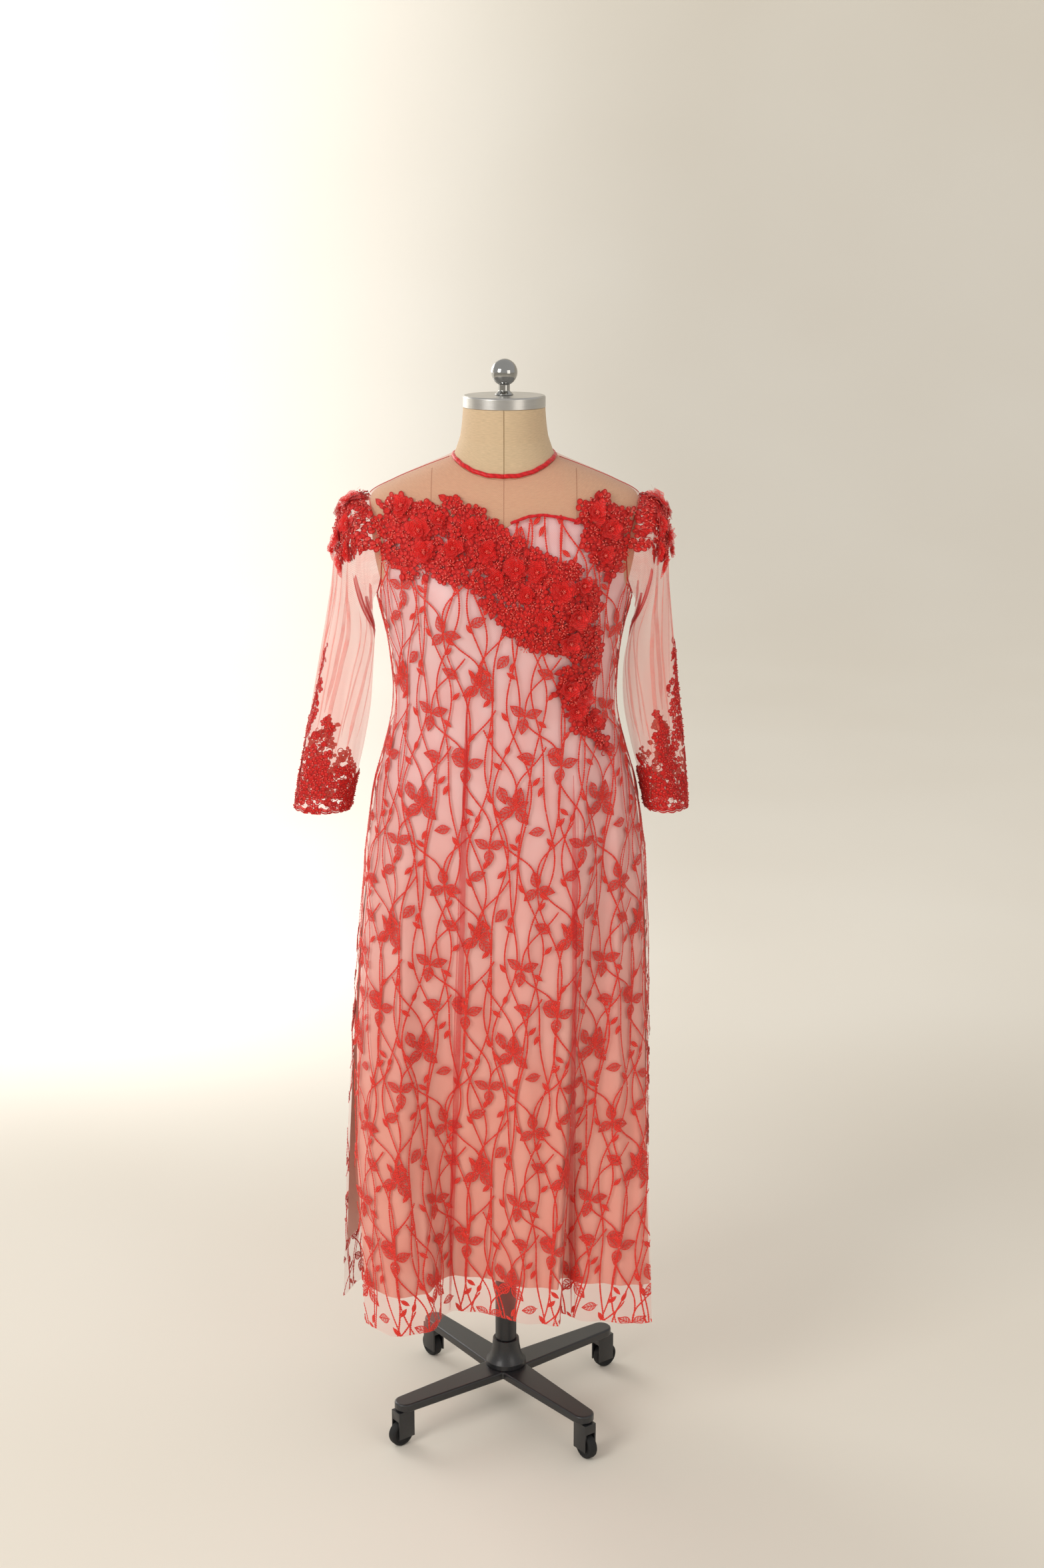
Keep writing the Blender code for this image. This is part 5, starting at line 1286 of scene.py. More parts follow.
class TUNIC_OT_body_cloth(Operator):
    """Makes the net of the front, back and yokes, and the satin lining"""

    bl_idname = "tunic.body_cloth"
    bl_label = "Body Cloth"

    def execute(self, context):
        sizes = context.scene.tunic_sizes
        columns, rows = sizes.columns, sizes.rows
        for name, place, top, hem_z, area, lining_area in (
                ("front", front_panel, sweetheart_edge, FRONT_HEM_Z, 0.66, 0.613),
                ("back", back_panel, back_top, BACK_HEM_Z, 0.72, 0.646)):
            net = grid_object(name + "_net", columns, rows, panel_place(place, top, hem_z),
                              finish("ground_net"))
            finish_piece(net, "stand", "net", name + "_panel")
            lining = grid_object(name + "_satin", columns // 2, rows // 2,
                                 panel_place(place, top, LINING_HEM_Z, LINING_GAP), finish("satin"))
            finish_piece(lining, "stand", "satin", name + "_lining")
        front = grid_object("front_yoke_net", *FRONT_YOKE_GRID, yoke_place(front_angle, sweetheart_edge),
                            finish("yoke_net"))
        finish_piece(front, "stand", "net", "front_yoke")
        for name, side in (("back_yoke_left", -1), ("back_yoke_right", 1)):
            half = grid_object(name + "_net", *BACK_YOKE_GRID, yoke_place(back_angle, back_top, side),
                               finish("yoke_net"))
            finish_piece(half, "stand", "net", name)
        return {"FINISHED"}


# Motifs of the embroidered lace, drawn from the origin along +Y
def leaf_outline(length, half, count=8):
    """A leaf's edge from its base round its tip and back."""
    t = np.linspace(0, 1, count)
    wide = half * np.sin(math.pi * t ** 0.80) ** 1.1
    right = np.column_stack((wide, t * length))
    left = np.column_stack((-wide, t * length))[::-1]
    return np.concatenate((right, left[1:]))


def veined_leaf():
    """An open fill, an outline, a midrib and four pairs of veins."""
    length, half = LEAF_LENGTH, LEAF_HALF
    leaf = Batch()
    leaf.blade(length, half, 0.0003, 1)
    leaf.ribbon(leaf_outline(length, half), 0.0008, 0.0008, closed=True)
    leaf.ribbon([(0, -0.002), (0, length * 0.5), (0, length)], 0.0007, 0.0010)
    for k in range(4):
        start, end = 0.12 + 0.19 * k, 0.30 + 0.19 * k
        reach = 0.82 * half * math.sin(math.pi * end ** 0.80) ** 1.1
        for side in (-1, 1):
            leaf.ribbon([(0, start * length), (side * reach, end * length)], 0.0006, 0.0008)
    return leaf.joined()


def trefoil(leaves):
    """Three leaves round a knot, or five."""
    flower = Batch()
    leaf = veined_leaf()
    if leaves == 3:
        turns = ((0, 1.0), (118, 0.98), (-118, 0.98))
    else:
        turns = ((0, 1.05), (48, 0.68), (-48, 0.68), (128, 1.0), (-128, 1.0))
    for degrees, size in turns:
        turn = math.radians(degrees)
        flower.turned(leaf, turn, size, -KNOT_RADIUS * math.sin(turn), KNOT_RADIUS * math.cos(turn))
    flower.disc(0, 0, KNOT_RADIUS, KNOT_RADIUS, 0, 0.001)
    return flower.joined()


def small_leaf():
    """A close-stitched leaf on a short stalk."""
    leaf = Batch()
    leaf.ribbon([(0, 0), (0, 0.0040)], 0.0006, 0.0006)
    leaf.blade(0.0165, 0.0036, 0.0012, base=0.0032)
    return leaf.joined()


def stem_line(stem, v):
    start, sway, turn, second, second_turn = stem
    wave = math.tau * v / REPEAT_TALL
    return (start + sway * np.sin(wave + math.tau * turn)
            + second * np.sin(2 * wave + math.tau * second_turn))


def repeats(cloth):
    """The lower left corner of each repeat that touches a cloth."""
    for column in range(-3, 3):
        for row in range(math.floor(cloth.low / REPEAT_TALL) - 1, math.ceil(cloth.high / REPEAT_TALL)):
            yield column * REPEAT_WIDE, row * REPEAT_TALL


def stitches(count, sizes, rng):
    """Half widths and rises along a stem: fat and thin stitches in turn, none quite alike."""
    beat = np.where(np.arange(count) % 2, 1.32, 0.68)
    return (sizes.stem_half * beat * rng.uniform(0.85, 1.15, count),
            0.0007 * beat * rng.uniform(0.8, 1.2, count))


def embroidered_stems(cloth, step, sizes, rng):
    """Wavy stems the whole length of a panel, and bowed branches between them."""
    batch, flat = Batch(), Batch()
    for column in range(-3, 3):
        for stem in STEMS.rows:
            v = np.arange(cloth.low, cloth.high + step, step)
            path = np.column_stack((column * REPEAT_WIDE + stem_line(stem, v), v))
            flat.ribbon(path, *stitches(len(v), sizes, rng))
    for corner in repeats(cloth):
        for u, v, to_u, to_v, bow in BRANCHES.rows:
            length = math.hypot(to_u - u, to_v - v)
            t = np.linspace(0, 1, int(length / step))
            side = np.array((v - to_v, to_u - u)) / length
            line = np.array((u, v)) + np.outer(t, (to_u - u, to_v - v))
            line += np.outer(np.sin(math.pi * t) + 0.4 * np.sin(math.tau * t), side) * bow
            flat.ribbon(line + corner, *stitches(len(t), sizes, rng))
    lay_all(batch, cloth, flat.joined(), STITCHES_LIFT)
    return batch


def embroidered_leaves(cloth, rng):
    """Trefoils, veined leaves, and small leaves set along the stems."""
    batch = Batch()
    flowers = {3: [], 5: []}
    veined, small = [], []
    for corner_u, corner_v in repeats(cloth):
        for u, v, turn, size, leaves in TREFOILS.rows:
            tilt = math.radians(turn + rng.uniform(-6, 6))
            flowers[int(leaves)].append((corner_u + u, corner_v + v, tilt, size, LEAF_LIFT))
        for u, v, turn, size in VEINED_LEAVES.rows:
            veined.append((corner_u + u, corner_v + v, math.radians(turn), size, LEAF_LIFT))
        for k, stem in enumerate(STEMS.rows):
            for n in range(SMALL_LEAVES_A_STEM):
                v = (n + 0.12 * k + 0.2 * (k % 3)) * REPEAT_TALL / SMALL_LEAVES_A_STEM
                side = 1 if (n + k) % 2 else -1
                lean = side * math.radians(24 + 9 * ((k * 5 + n * 3) % 4))
                down = math.pi if (k + 2 * n) % 3 == 0 else 0
                small.append((corner_u + stem_line(stem, v), corner_v + v, down + lean, 1.0, LEAF_LIFT))
    for leaves, rows in flowers.items():
        stamp(batch, cloth, trefoil(leaves), rows)
    stamp(batch, cloth, veined_leaf(), veined)
    stamp(batch, cloth, small_leaf(), small)
    return batch


def glitter(cloth, rng, count):
    """Tiny crystals scattered along the stems."""
    crystal, batch = Batch(), Batch()
    crystal.bead(0, 0, 0.0006)
    places = []
    for _ in range(count):
        stem = STEMS.rows[rng.integers(len(STEMS.rows))]
        v = rng.uniform(cloth.low, cloth.high)
        column = rng.integers(-3, 3)
        places.append((column * REPEAT_WIDE + stem_line(stem, v), v, 0, rng.uniform(0.7, 1.2), 0.0008))
    stamp(batch, cloth, crystal.joined(), places)
    return batch


def below_sweetheart(u, v):
    """Whether a flat place of the front lies below the sweetheart edge."""
    return v < sweetheart_z(np.clip(np.abs(u) * BUST_SHARE, 0, 0.18)) - 0.001


def folded_strip(batch, cloth, row, rows=90):
    """A narrow roll of net along a fold, which wavers and tapers to its ends."""
    top_u, top_v, low_u, low_v, half = row
    grid, faces = grid_arrays(4, rows)
    t, across = grid[:, 1], 2 * grid[:, 0] - 1
    taper = np.clip(np.minimum(t, 1 - t) * 6 + 0.15, 0, 1)
    waver = 0.0014 * np.sin(7 * t + 900 * half) + 0.0003 * np.sin(23 * t)
    u = low_u + (top_u - low_u) * t + waver + across * half * taper
    v = low_v + (top_v - low_v) * t
    h = 0.0006 + np.minimum(0.55 * half, 0.0016) * (1 - across ** 2) * taper
    lay(batch, cloth, np.column_stack((u, v, h)), faces, np.column_stack((across * half, v)),
        np.zeros(len(faces), int))


class TUNIC_OT_embroidery(Operator):
    """Embroiders stems, leaves and trefoils on the front and back, and folds the net over"""

    bl_idname = "tunic.embroidery"
    bl_label = "Embroidery"

    def execute(self, context):
        sizes = context.scene.tunic_sizes
        for name, place, low, high, keep, share in (
                ("front", front_panel, FRONT_HEM_Z + 0.001, STITCHES_TOP_Z, below_sweetheart, 1.0),
                ("back", back_panel, BACK_HEM_Z + 0.001, BACK_EDGE_Z, None, BACK_STITCH_SHARE)):
            rng = np.random.default_rng(STITCHES_SEED)
            cloth = Cloth(place, low, high, keep=keep)
            for part, batch, material in (
                    ("stems", embroidered_stems(cloth, sizes.stem_step * share, sizes, rng), "thread"),
                    ("leaves", embroidered_leaves(cloth, rng), "thread"),
                    ("crystals", glitter(cloth, rng, CRYSTALS_A_PANEL), "crystal")):
                made = batch_object(name + "_" + part, batch, finish(material), finish("leaf_fill"))
                finish_piece(made, "stand", "lace")
        front = Cloth(front_panel, FRONT_HEM_Z, PLEATS_TOP_Z, by_x=True)
        batch = Batch()
        for row in PLEATS.rows:
            folded_strip(batch, front, row, 220)
        finish_piece(batch_object("front_pleats", batch, finish("pleated_net")), "stand", "net")
        return {"FINISHED"}


# Sleeves
def sleeve_cloth(side):
    """A sleeve read by metres round from its outer line and metres up from the cuff."""
    lengths, positions = sleeve_lengths(side)

    def place(across, up):
        return sleeve(side, (-side * across / 2) % 1.0, np.interp(up, lengths, positions))
    return Cloth(place, 0.0, lengths[-1])


class TUNIC_OT_sleeves(Operator):
    """Makes the two sheer sleeves with their folds"""

    bl_idname = "tunic.sleeves"
    bl_label = "Sleeves"

    def execute(self, context):
        for name, side in (("left_sleeve", 1), ("right_sleeve", -1)):
            lengths, positions = sleeve_lengths(side)

            def place(s, t, side=side, lengths=lengths, positions=positions):
                return sleeve(side, (-side * (s - 0.5)) % 1.0, np.interp(t * lengths[-1], lengths, positions))
            net = grid_object(name + "_net", *SLEEVE_GRID, place, finish("sleeve_net"), merge=True)
            finish_piece(net, "stand", "net", name)
            cloth = sleeve_cloth(side)
            for part, table, material in (("folds", SLEEVE_FOLDS, "creased_net"),
                                          ("underarm", UNDERARM_FOLDS, "folded_net")):
                batch = Batch()
                for row in table.rows:
                    folded_strip(batch, cloth, row * (-side, 1, -side, 1, 1))
                finish_piece(batch_object(name + "_" + part, batch, finish(material)), "stand", "net")
        return {"FINISHED"}


# Corded lace
CORD, PETAL, BEAD, ORGANZA = range(4)


def oval(x, y, half_x, half_y, turn):
    """A closed oval path of eight steps."""
    angle = np.linspace(0, math.tau, 9)
    dx, dy = half_x * np.cos(angle), half_y * np.sin(angle)
    return np.column_stack((x + dx * math.cos(turn) - dy * math.sin(turn),
                            y + dx * math.sin(turn) + dy * math.cos(turn)))


def lace_flower(petals, radius, sizes, centre_beads=1):
    """A flat lace flower: corded petals round a few beads."""
    flower = Batch()
    for k in range(petals):
        turn = math.tau * k / petals
        x, y = 0.60 * radius * math.cos(turn), 0.60 * radius * math.sin(turn)
        wide = radius * min(0.40, 1.75 / petals)
        flower.ribbon(oval(x, y, radius * 0.40, wide, turn), sizes.cord_half, 0.0010, CORD, closed=True)
        flower.disc(x, y, radius * 0.40, wide, turn, 0.0012, PETAL)
    for k in range(centre_beads):
        turn = math.tau * k / centre_beads
        reach = 0 if centre_beads == 1 else 1.7 * sizes.bead_radius
        flower.bead(reach * math.cos(turn), reach * math.sin(turn), sizes.bead_radius, 0.0008, BEAD)
    return flower.joined()


def lace_leaf(length, half, sizes):
    leaf = Batch()
    leaf.ribbon(leaf_outline(length, half, 6), sizes.cord_half, 0.0010, CORD, closed=True)
    leaf.blade(length, half, 0.0010, PETAL)
    leaf.ribbon([(0, -0.003), (0, length * 0.4), (0, length * 0.9)], sizes.cord_half * 0.8, 0.0018, CORD)
    return leaf.joined()


def lace_scroll(sizes):
    """A curl of cord with a bead in its eye."""
    scroll = Batch()
    t = np.linspace(0, 1, 12)
    radius = 0.0065 * (1 - 0.62 * t)
    curl = np.column_stack((radius * np.cos(5 * t), radius * np.sin(5 * t)))
    scroll.ribbon(curl, sizes.cord_half, 0.0011, CORD)
    scroll.bead(0, 0, sizes.bead_radius * 0.9, 0.0003, BEAD)
    return scroll.joined()


def bead_spray(sizes, rng):
    """Bugle beads fanned round a round bead."""
    spray = Batch()
    for k in range(7):
        turn = math.tau * k / 7 + rng.uniform(-0.2, 0.2)
        reach = rng.uniform(0.0025, 0.0075)
        bugle = Batch()
        bugle.bead(0, 0, sizes.bead_radius * 0.75, 0.0012, BEAD, stretch=2.6)
        spray.turned(bugle.joined(), turn, 1.0, -reach * math.sin(turn), reach * math.cos(turn))
    spray.bead(0, 0, sizes.bead_radius * 1.3, 0.0022, BEAD)
    return spray.joined()


def organza_flower(petals, length, rng, sizes):
    """A standing flower: two rings of cupped organza petals round beads."""
    flower = Batch()
    for ring, (count, share, rise) in enumerate(((petals, 1.0, 0.42), (petals - 1, 0.68, 0.52))):
        for k in range(count):
            petal = Batch()
            size = length * share * rng.uniform(0.68, 1.05)
            petal.blade(size, size * rng.uniform(0.40, 0.56), 0.0005, ORGANZA, columns=6, rows=6,
                        droop=length * rise * rng.uniform(0.3, 1.3), cup=rng.uniform(0.0025, 0.0060))
            flower.turned(petal.joined(), math.tau * (k + 0.5 * ring) / count + rng.uniform(-0.35, 0.35))
    for k in range(5):
        turn = math.tau * k / 5
        flower.bead(0.002 * math.cos(turn), 0.002 * math.sin(turn), sizes.bead_radius, 0.0030, BEAD)
    flower.bead(0, 0, sizes.bead_radius * 1.4, 0.0036, BEAD)
    return flower.joined()


def stamens(rng, length, count):
    """Stiff fine threads that stand out of a flower."""
    spray = Batch()
    t = np.linspace(0, 1, 6)
    for _ in range(count):
        turn, reach = rng.uniform(0, math.tau), length * rng.uniform(0.6, 1.0)
        out = reach * rng.uniform(0.25, 0.7) * t
        up = reach * np.sqrt(t) * rng.uniform(0.35, 0.7)
        line = np.column_stack((out * math.cos(turn), out * math.sin(turn), up))
        spray.ribbon(line, 0.00035, 0.0003, ORGANZA)
    return spray.joined()


def scattered(rng, low_u, high_u, low_v, high_v, pitch, inside):
    """Places on a shaken triangle grid that lie inside a region."""
    rows = int((high_v - low_v) / (pitch * TRIANGLE_ROW)) + 1
    columns = int((high_u - low_u) / pitch) + 2
    r, c = np.meshgrid(np.arange(rows + 1), np.arange(columns), indexing="ij")
    u = low_u + (c + 0.5 * (r % 2)) * pitch + rng.uniform(-0.25, 0.25, r.shape) * pitch
    v = low_v + r * pitch * TRIANGLE_ROW + rng.uniform(-0.25, 0.25, r.shape) * pitch
    u, v = u.ravel(), v.ravel()
    kept = inside(u, v)
    return u[kept], v[kept]


def strew(batch, cloth, places, motifs, rng, lift=LACE_LIFT):
    """Stamps motifs in turn on shuffled places."""
    u, v = places
    order = rng.permutation(len(u))
    for k, motif in enumerate(motifs):
        chosen = order[k::len(motifs)]
        n = len(chosen)
        stamp(batch, cloth, motif, np.column_stack((
            u[chosen], v[chosen], rng.uniform(0, math.tau, n), rng.uniform(0.85, 1.15, n),
            lift + rng.uniform(0, 0.0008, n))))


def flower_kit(sizes, small=1.0):
    """The corded motifs of one lace, large and small."""
    return [
        lace_flower(5, 0.0105 * small, sizes, 3),
        lace_flower(4, 0.0090 * small, sizes),
        lace_flower(6, 0.0110 * small, sizes, 3),
        lace_leaf(0.0150 * small, 0.0048 * small, sizes),
        lace_flower(3, 0.0080 * small, sizes),
        lace_scroll(sizes),
        lace_leaf(0.0120 * small, 0.0042 * small, sizes),
    ]


def in_band(table, margin):
    def inside(x, z):
        first, last = table.rows[0, 0], table.rows[-1, 0]
        top, bottom = table.straight("top_z", x), table.straight("bottom_z", x)
        return (x > first) & (x < last) & (z < top - margin) & (z > bottom + margin)
    return inside


def in_cascade(x, z):
    left, right = CASCADE.straight("left_x", z), CASCADE.straight("right_x", z)
    low, high = CASCADE.rows[-1, 0], CASCADE.rows[0, 0]
    return (z > low) & (z < high + 0.01) & (x > left + 0.004) & (x < right - 0.004)


def lace_object(name, node, batch):
    made = batch_object(name, batch, *(finish(kind) for kind in ("cord", "petal", "bead", "organza")))
    finish_piece(made, "stand", "lace", node)


def body_lace(name, node, cloth, inside, box, sizes, rng, flowers, sprays=()):
    """Flowers over a region, with organza flowers and stamens at chosen places."""
    batch = Batch()
    pitch = sizes.flower_pitch
    strew(batch, cloth, scattered(rng, *box, pitch, inside), flower_kit(sizes), rng)
    places = scattered(rng, *box, pitch * 1.5, inside)
    strew(batch, cloth, places, flower_kit(sizes, 0.8), rng, LACE_LIFT + 0.0018)
    places = scattered(rng, *box, pitch * 1.9, inside)
    strew(batch, cloth, places, [bead_spray(sizes, rng) for _ in range(3)], rng, LACE_LIFT + 0.0022)
    for x, z, length in flowers:
        flower = organza_flower(6, length, rng, sizes)
        stamp(batch, cloth, flower, [(x, z, rng.uniform(0, 6), 1.0, LACE_LIFT + 0.0030)])
    for x, z in sprays:
        stamp(batch, cloth, stamens(rng, 0.022, 5), [(x, z, 0, 1.0, LACE_LIFT)])
    lace_object(name, node, batch)


class TUNIC_OT_body_lace(Operator):
    """Sews corded lace, beads and organza flowers over the bust, the hip and the shoulders"""

    bl_idname = "tunic.body_lace"
    bl_label = "Body Lace"

    def execute(self, context):
        sizes = context.scene.tunic_sizes
        rng = np.random.default_rng(LACE_SEED)
        cloth = Cloth(front_panel, LACE_LOW_Z, BODICE_TOP_Z, by_x=True)
        for name, inside, box, flowers in (
                ("bust", in_band(BUST_BAND, 0.006), BUST_BOX, BUST_FLOWERS),
                ("left_bust", in_band(LEFT_BUST_BAND, 0.003), LEFT_BUST_BOX, LEFT_BUST_FLOWERS),
                ("hip", in_cascade, HIP_BOX, HIP_FLOWERS)):
            body_lace(name + "_lace", name + "_applique", cloth, inside, box, sizes, rng, flowers)
        for name, side in (("left_shoulder", 1), ("right_shoulder", -1)):
            shoulder = sleeve_cloth(side)
            top = shoulder.high

            def inside(u, v, side=side, top=top, cloth=shoulder):
                off = np.abs(-side * u - SHOULDER_FORWARD)
                height = cloth.at(u, v, np.zeros(u.shape))[..., 2]
                return (off < SHOULDER_REACH) & (height > SHOULDER_LOW_Z + 0.42 * off) & (v < top - 0.003)
            flowers = [(-side * u, top - down, size) for u, down, size in SHOULDER_FLOWERS]
            sprays = [(-side * u, top - down) for u, down in SHOULDER_SPRAYS]
            body_lace(name + "_lace", name + "_applique", shoulder, inside, (-0.15, 0.15, top - 0.15, top),
                      sizes, rng, flowers, sprays)
        return {"FINISHED"}


class TUNIC_OT_cuffs(Operator):
    """Sews corded lace round the cuffs, with a scalloped edge"""

    bl_idname = "tunic.cuffs"
    bl_label = "Cuffs"

    def execute(self, context):
        sizes = context.scene.tunic_sizes
        for name, side in (("left_cuff", 1), ("right_cuff", -1)):
            rng = np.random.default_rng(CUFF_SEED)
            cloth = sleeve_cloth(side)
            girth = cloth.ends[1][0]

            def inside(u, v, side=side):
                kept = v < CUFF_BAND
                for cu, cv, half_u, half_v in CUFF_CLUSTERS.rows:
                    kept |= ((-side * u - cu) / half_u) ** 2 + ((v - cv) / half_v) ** 2 < 1
                return kept & (v > 0.004)
            batch, trim = Batch(), Batch()
            pitch = sizes.flower_pitch * 0.84
            strew(batch, cloth, scattered(rng, -girth, girth, 0.004, CUFF_LACE_TOP, pitch, inside),
                  flower_kit(sizes, 0.70), rng, 0.0006)
            angle = np.linspace(-1, 1, 320)
            wave = 1 - np.abs(np.sin(angle * math.pi * SCALLOPS / 2))
            edge = np.column_stack((angle * girth * 0.999, 0.0012 + SCALLOP_DEEP * wave))
            trim.ribbon(edge, 0.0010, 0.0014, CORD)
            trim.ribbon(edge + (0, 0.0026), 0.0008, 0.0012, CORD)
            trim.ribbon(edge + (0, 0.0052), 0.0018, 0.0008, PETAL)
            lay_all(batch, cloth, trim.joined(), 0.0004)
            lace_object(name + "_corded_lace", name + "_lace", batch)
        return {"FINISHED"}


# Trim
def rope(batch, path, radius, around, twist=0.0, ridges=0, closed=False):
    """A round roll along a path in space, with slanting ridges if it is twisted."""
    path = np.asarray(path, float)
    count = len(path) - 1
    grid, faces = grid_arrays(count, around)
    k = np.rint(grid[:, 0] * count).astype(int)
    way = np.gradient(path, axis=0)
    if closed:
        way[0] = way[-1] = path[1] - path[-2]
    way = unit(way)
    out = unit(path - path.mean(axis=0)) if closed else np.tile((0.0, -1.0, 0.0), (len(path), 1))
    side = unit(np.cross(way, out))
    out = np.cross(side, way)
    lengths = np.concatenate(([0], np.cumsum(np.linalg.norm(np.diff(path, axis=0), axis=1))))
    angle = math.tau * grid[:, 1]
    grow = radius * (1 + 0.10 * np.cos(ridges * angle + twist * lengths[k]) * (ridges > 0))
    offset = (out[k].T * np.cos(angle) + side[k].T * np.sin(angle)) * grow
    batch.add(path[k] + offset.T, faces, np.column_stack((lengths[k], angle * radius)))


def rolled(name, batch, material):
    """An object of closed rolls."""
    made = batch_object(name, batch, finish(material))
    reworked(made.data, close)
    return made


def close(shape):
    """Merges a shape's edges, caps its holes and turns its faces outwards."""
    bmesh.ops.remove_doubles(shape, verts=shape.verts, dist=0.00002)
    bmesh.ops.holes_fill(shape, edges=[e for e in shape.edges if e.is_boundary])
    bmesh.ops.recalc_face_normals(shape, faces=shape.faces)


class TUNIC_OT_trim(Operator):
    """Makes the neck binding, the sweetheart piping, the seams and the back zip"""

    bl_idname = "tunic.trim"
    bl_label = "Trim"

    def execute(self, context):
        angle = np.linspace(0, math.tau, 241)
        edge = worn(angle, neck_z(angle) - 0.0001)
        below = worn(angle, neck_z(angle) - 0.004)
        batch = Batch()
        ring = edge + unit(edge - below) * (BINDING_RADIUS + BINDING_CLEAR)
        rope(batch, ring, BINDING_RADIUS, 14, BINDING_TWIST, 1, True)
        finish_piece(rolled("satin_binding", batch, "binding"), "stand", "binding", "neck_binding")
        front = Cloth(front_panel, 1.40, BODICE_TOP_Z, by_x=True)
        x = np.linspace(PIPING_START_X, PIPING_END_X, 90)
        batch = Batch()
        line = front.at(x, sweetheart_z(x), np.full(len(x), PIPING_RADIUS + 0.0007))
        rope(batch, line, PIPING_RADIUS, 12, PIPING_TWIST, 2)
        finish_piece(rolled("satin_piping", batch, "binding"), "stand", "binding", "sweetheart_piping")
        batch = Batch()
        for side in (-1, 1):
            line = worn(np.full(40, side * math.pi / 2), np.linspace(*SHOULDER_SEAM_Z, 40))
            rope(batch, line, SEAM_RADIUS, 6)
            z = np.linspace(UNDERARM_Z - 0.002, SIDE_SEAM_LOW_Z, 200)
            line = front_panel(np.full(200, side * EDGE_SHARE), z) + (side * 0.0004, 0, 0)
            rope(batch, line, SEAM_RADIUS, 6)
            ring = armhole(side, np.linspace(0, 1, 120) % 1.0) + (side * 0.0006, 0, 0)
            rope(batch, ring, ARMHOLE_SEAM_RADIUS, 6, closed=True)
        finish_piece(rolled("seam_rolls", batch, "cord"), "stand", "binding")
        self.zip()
        return {"FINISHED"}

    def zip(self):
        """A closed zip on its tapes down the centre back."""
        def place(across, z):
            return worn(back_angle(across, side_limit(z)), z)
        cloth = Cloth(place, ZIP_BOTTOM_Z - 0.004, NECK_BACK_Z)
        top = NECK_BACK_Z - 0.005
        batch, flat = Batch(), Batch()
        v = np.linspace(ZIP_BOTTOM_Z, top, 160)
        for side in (-1, 1):
            flat.ribbon(np.column_stack((np.full(160, side * TAPE_X), v)), TAPE_HALF, 0.0005)
        lay_all(batch, cloth, flat.joined(), 0.0011)
        shape = bmesh.new()
        bmesh.ops.create_cube(shape, size=1)
        points, faces = shape_arrays(shape)
        tooth = Batch()
        tooth.add(points * (0.0018, 0.0010, 0.0010), faces, points[:, :2] * 0.001)
        rows = [(0.0004 * (1 if k % 2 else -1), ZIP_BOTTOM_Z + k * ZIP_PITCH, 0, 1.0, 0.0019)
                for k in range(int((top - ZIP_BOTTOM_Z) / ZIP_PITCH))]
        stamp(batch, cloth, tooth.joined(), rows)
        finish_piece(batch_object("back_zip_tape", batch, finish("tape")), "stand", "binding", "back_zip")
        copied("zip_slider", "stand", "steel", "brushed_steel", 0.00015)
        copied("zip_pull", "pull", "steel", "brushed_steel", 0.00015)


def join_triangles(shape):
    bmesh.ops.remove_doubles(shape, verts=shape.verts, dist=0.00001)
    bmesh.ops.dissolve_limit(shape, angle_limit=math.radians(2), verts=shape.verts, edges=shape.edges)


def copied(node, body, slot, material, edge):
    """A copy of a solid with its triangles joined and its edges rounded."""
    source = bpy.data.objects[node]
    mesh = source.data.copy()
    mesh.transform(source.matrix_world)
    reworked(mesh, join_triangles)
    mesh.materials.clear()
    made = link(node + "_rounded", mesh, finish(material))
    round_edges(made, edge)
    finish_piece(made, body, slot, node)


def round_edges(made, width, segments=2):
    edge = made.modifiers.new("edge", "BEVEL")
    edge.width = width
    edge.segments = segments
    edge.limit_method = "ANGLE"
    edge.angle_limit = math.radians(32)
    edge.harden_normals = True


# Form and stand
def form_place(s, t):
    """The form's skin: s runs round it from the back, and t from its underside to the top of the neck."""
    angle = math.tau * (s - 0.5)
    share = (1 - t) * 3.0
    front = np.cos(angle) > 0
    neck_row = np.clip(share * 2, 0, 2)
    side_z = NECK_RINGS.smooth("side_z", neck_row)
    mid_z = np.where(front, NECK_RINGS.smooth("front_z", neck_row), NECK_RINGS.smooth("back_z", neck_row))
    deep = np.where(front, NECK_RINGS.smooth("front_y", neck_row), NECK_RINGS.smooth("back_y", neck_row))
    neck = np.stack((NECK_RINGS.smooth("radius_x", neck_row) * np.sin(angle), -deep * np.cos(angle),
                     side_z + (mid_z - side_z) * np.cos(angle) ** 2), axis=-1)
    ring = np.clip((share - 1) * 4, 0, 4)
    z = ring_z(angle, ring)
    gap = FORM_GAP.straight("gap", z)
    shoulder = worn(angle, z, gap, gap * np.maximum(0, 1 - ring / 4))
    low = np.clip(share - 2, 0, 1)
    start = ring_z(angle, np.full(np.shape(s), 4.0))
    z = start + (FORM_BOTTOM_Z - start) * low
    body = worn(angle, z, FORM_GAP.straight("gap", z))
    join = np.clip((share - 0.8) / 0.2, 0, 1)[..., None]
    share = share[..., None]
    return np.where(share < 1, neck + (shoulder - neck) * join, np.where(share < 2, shoulder, body))


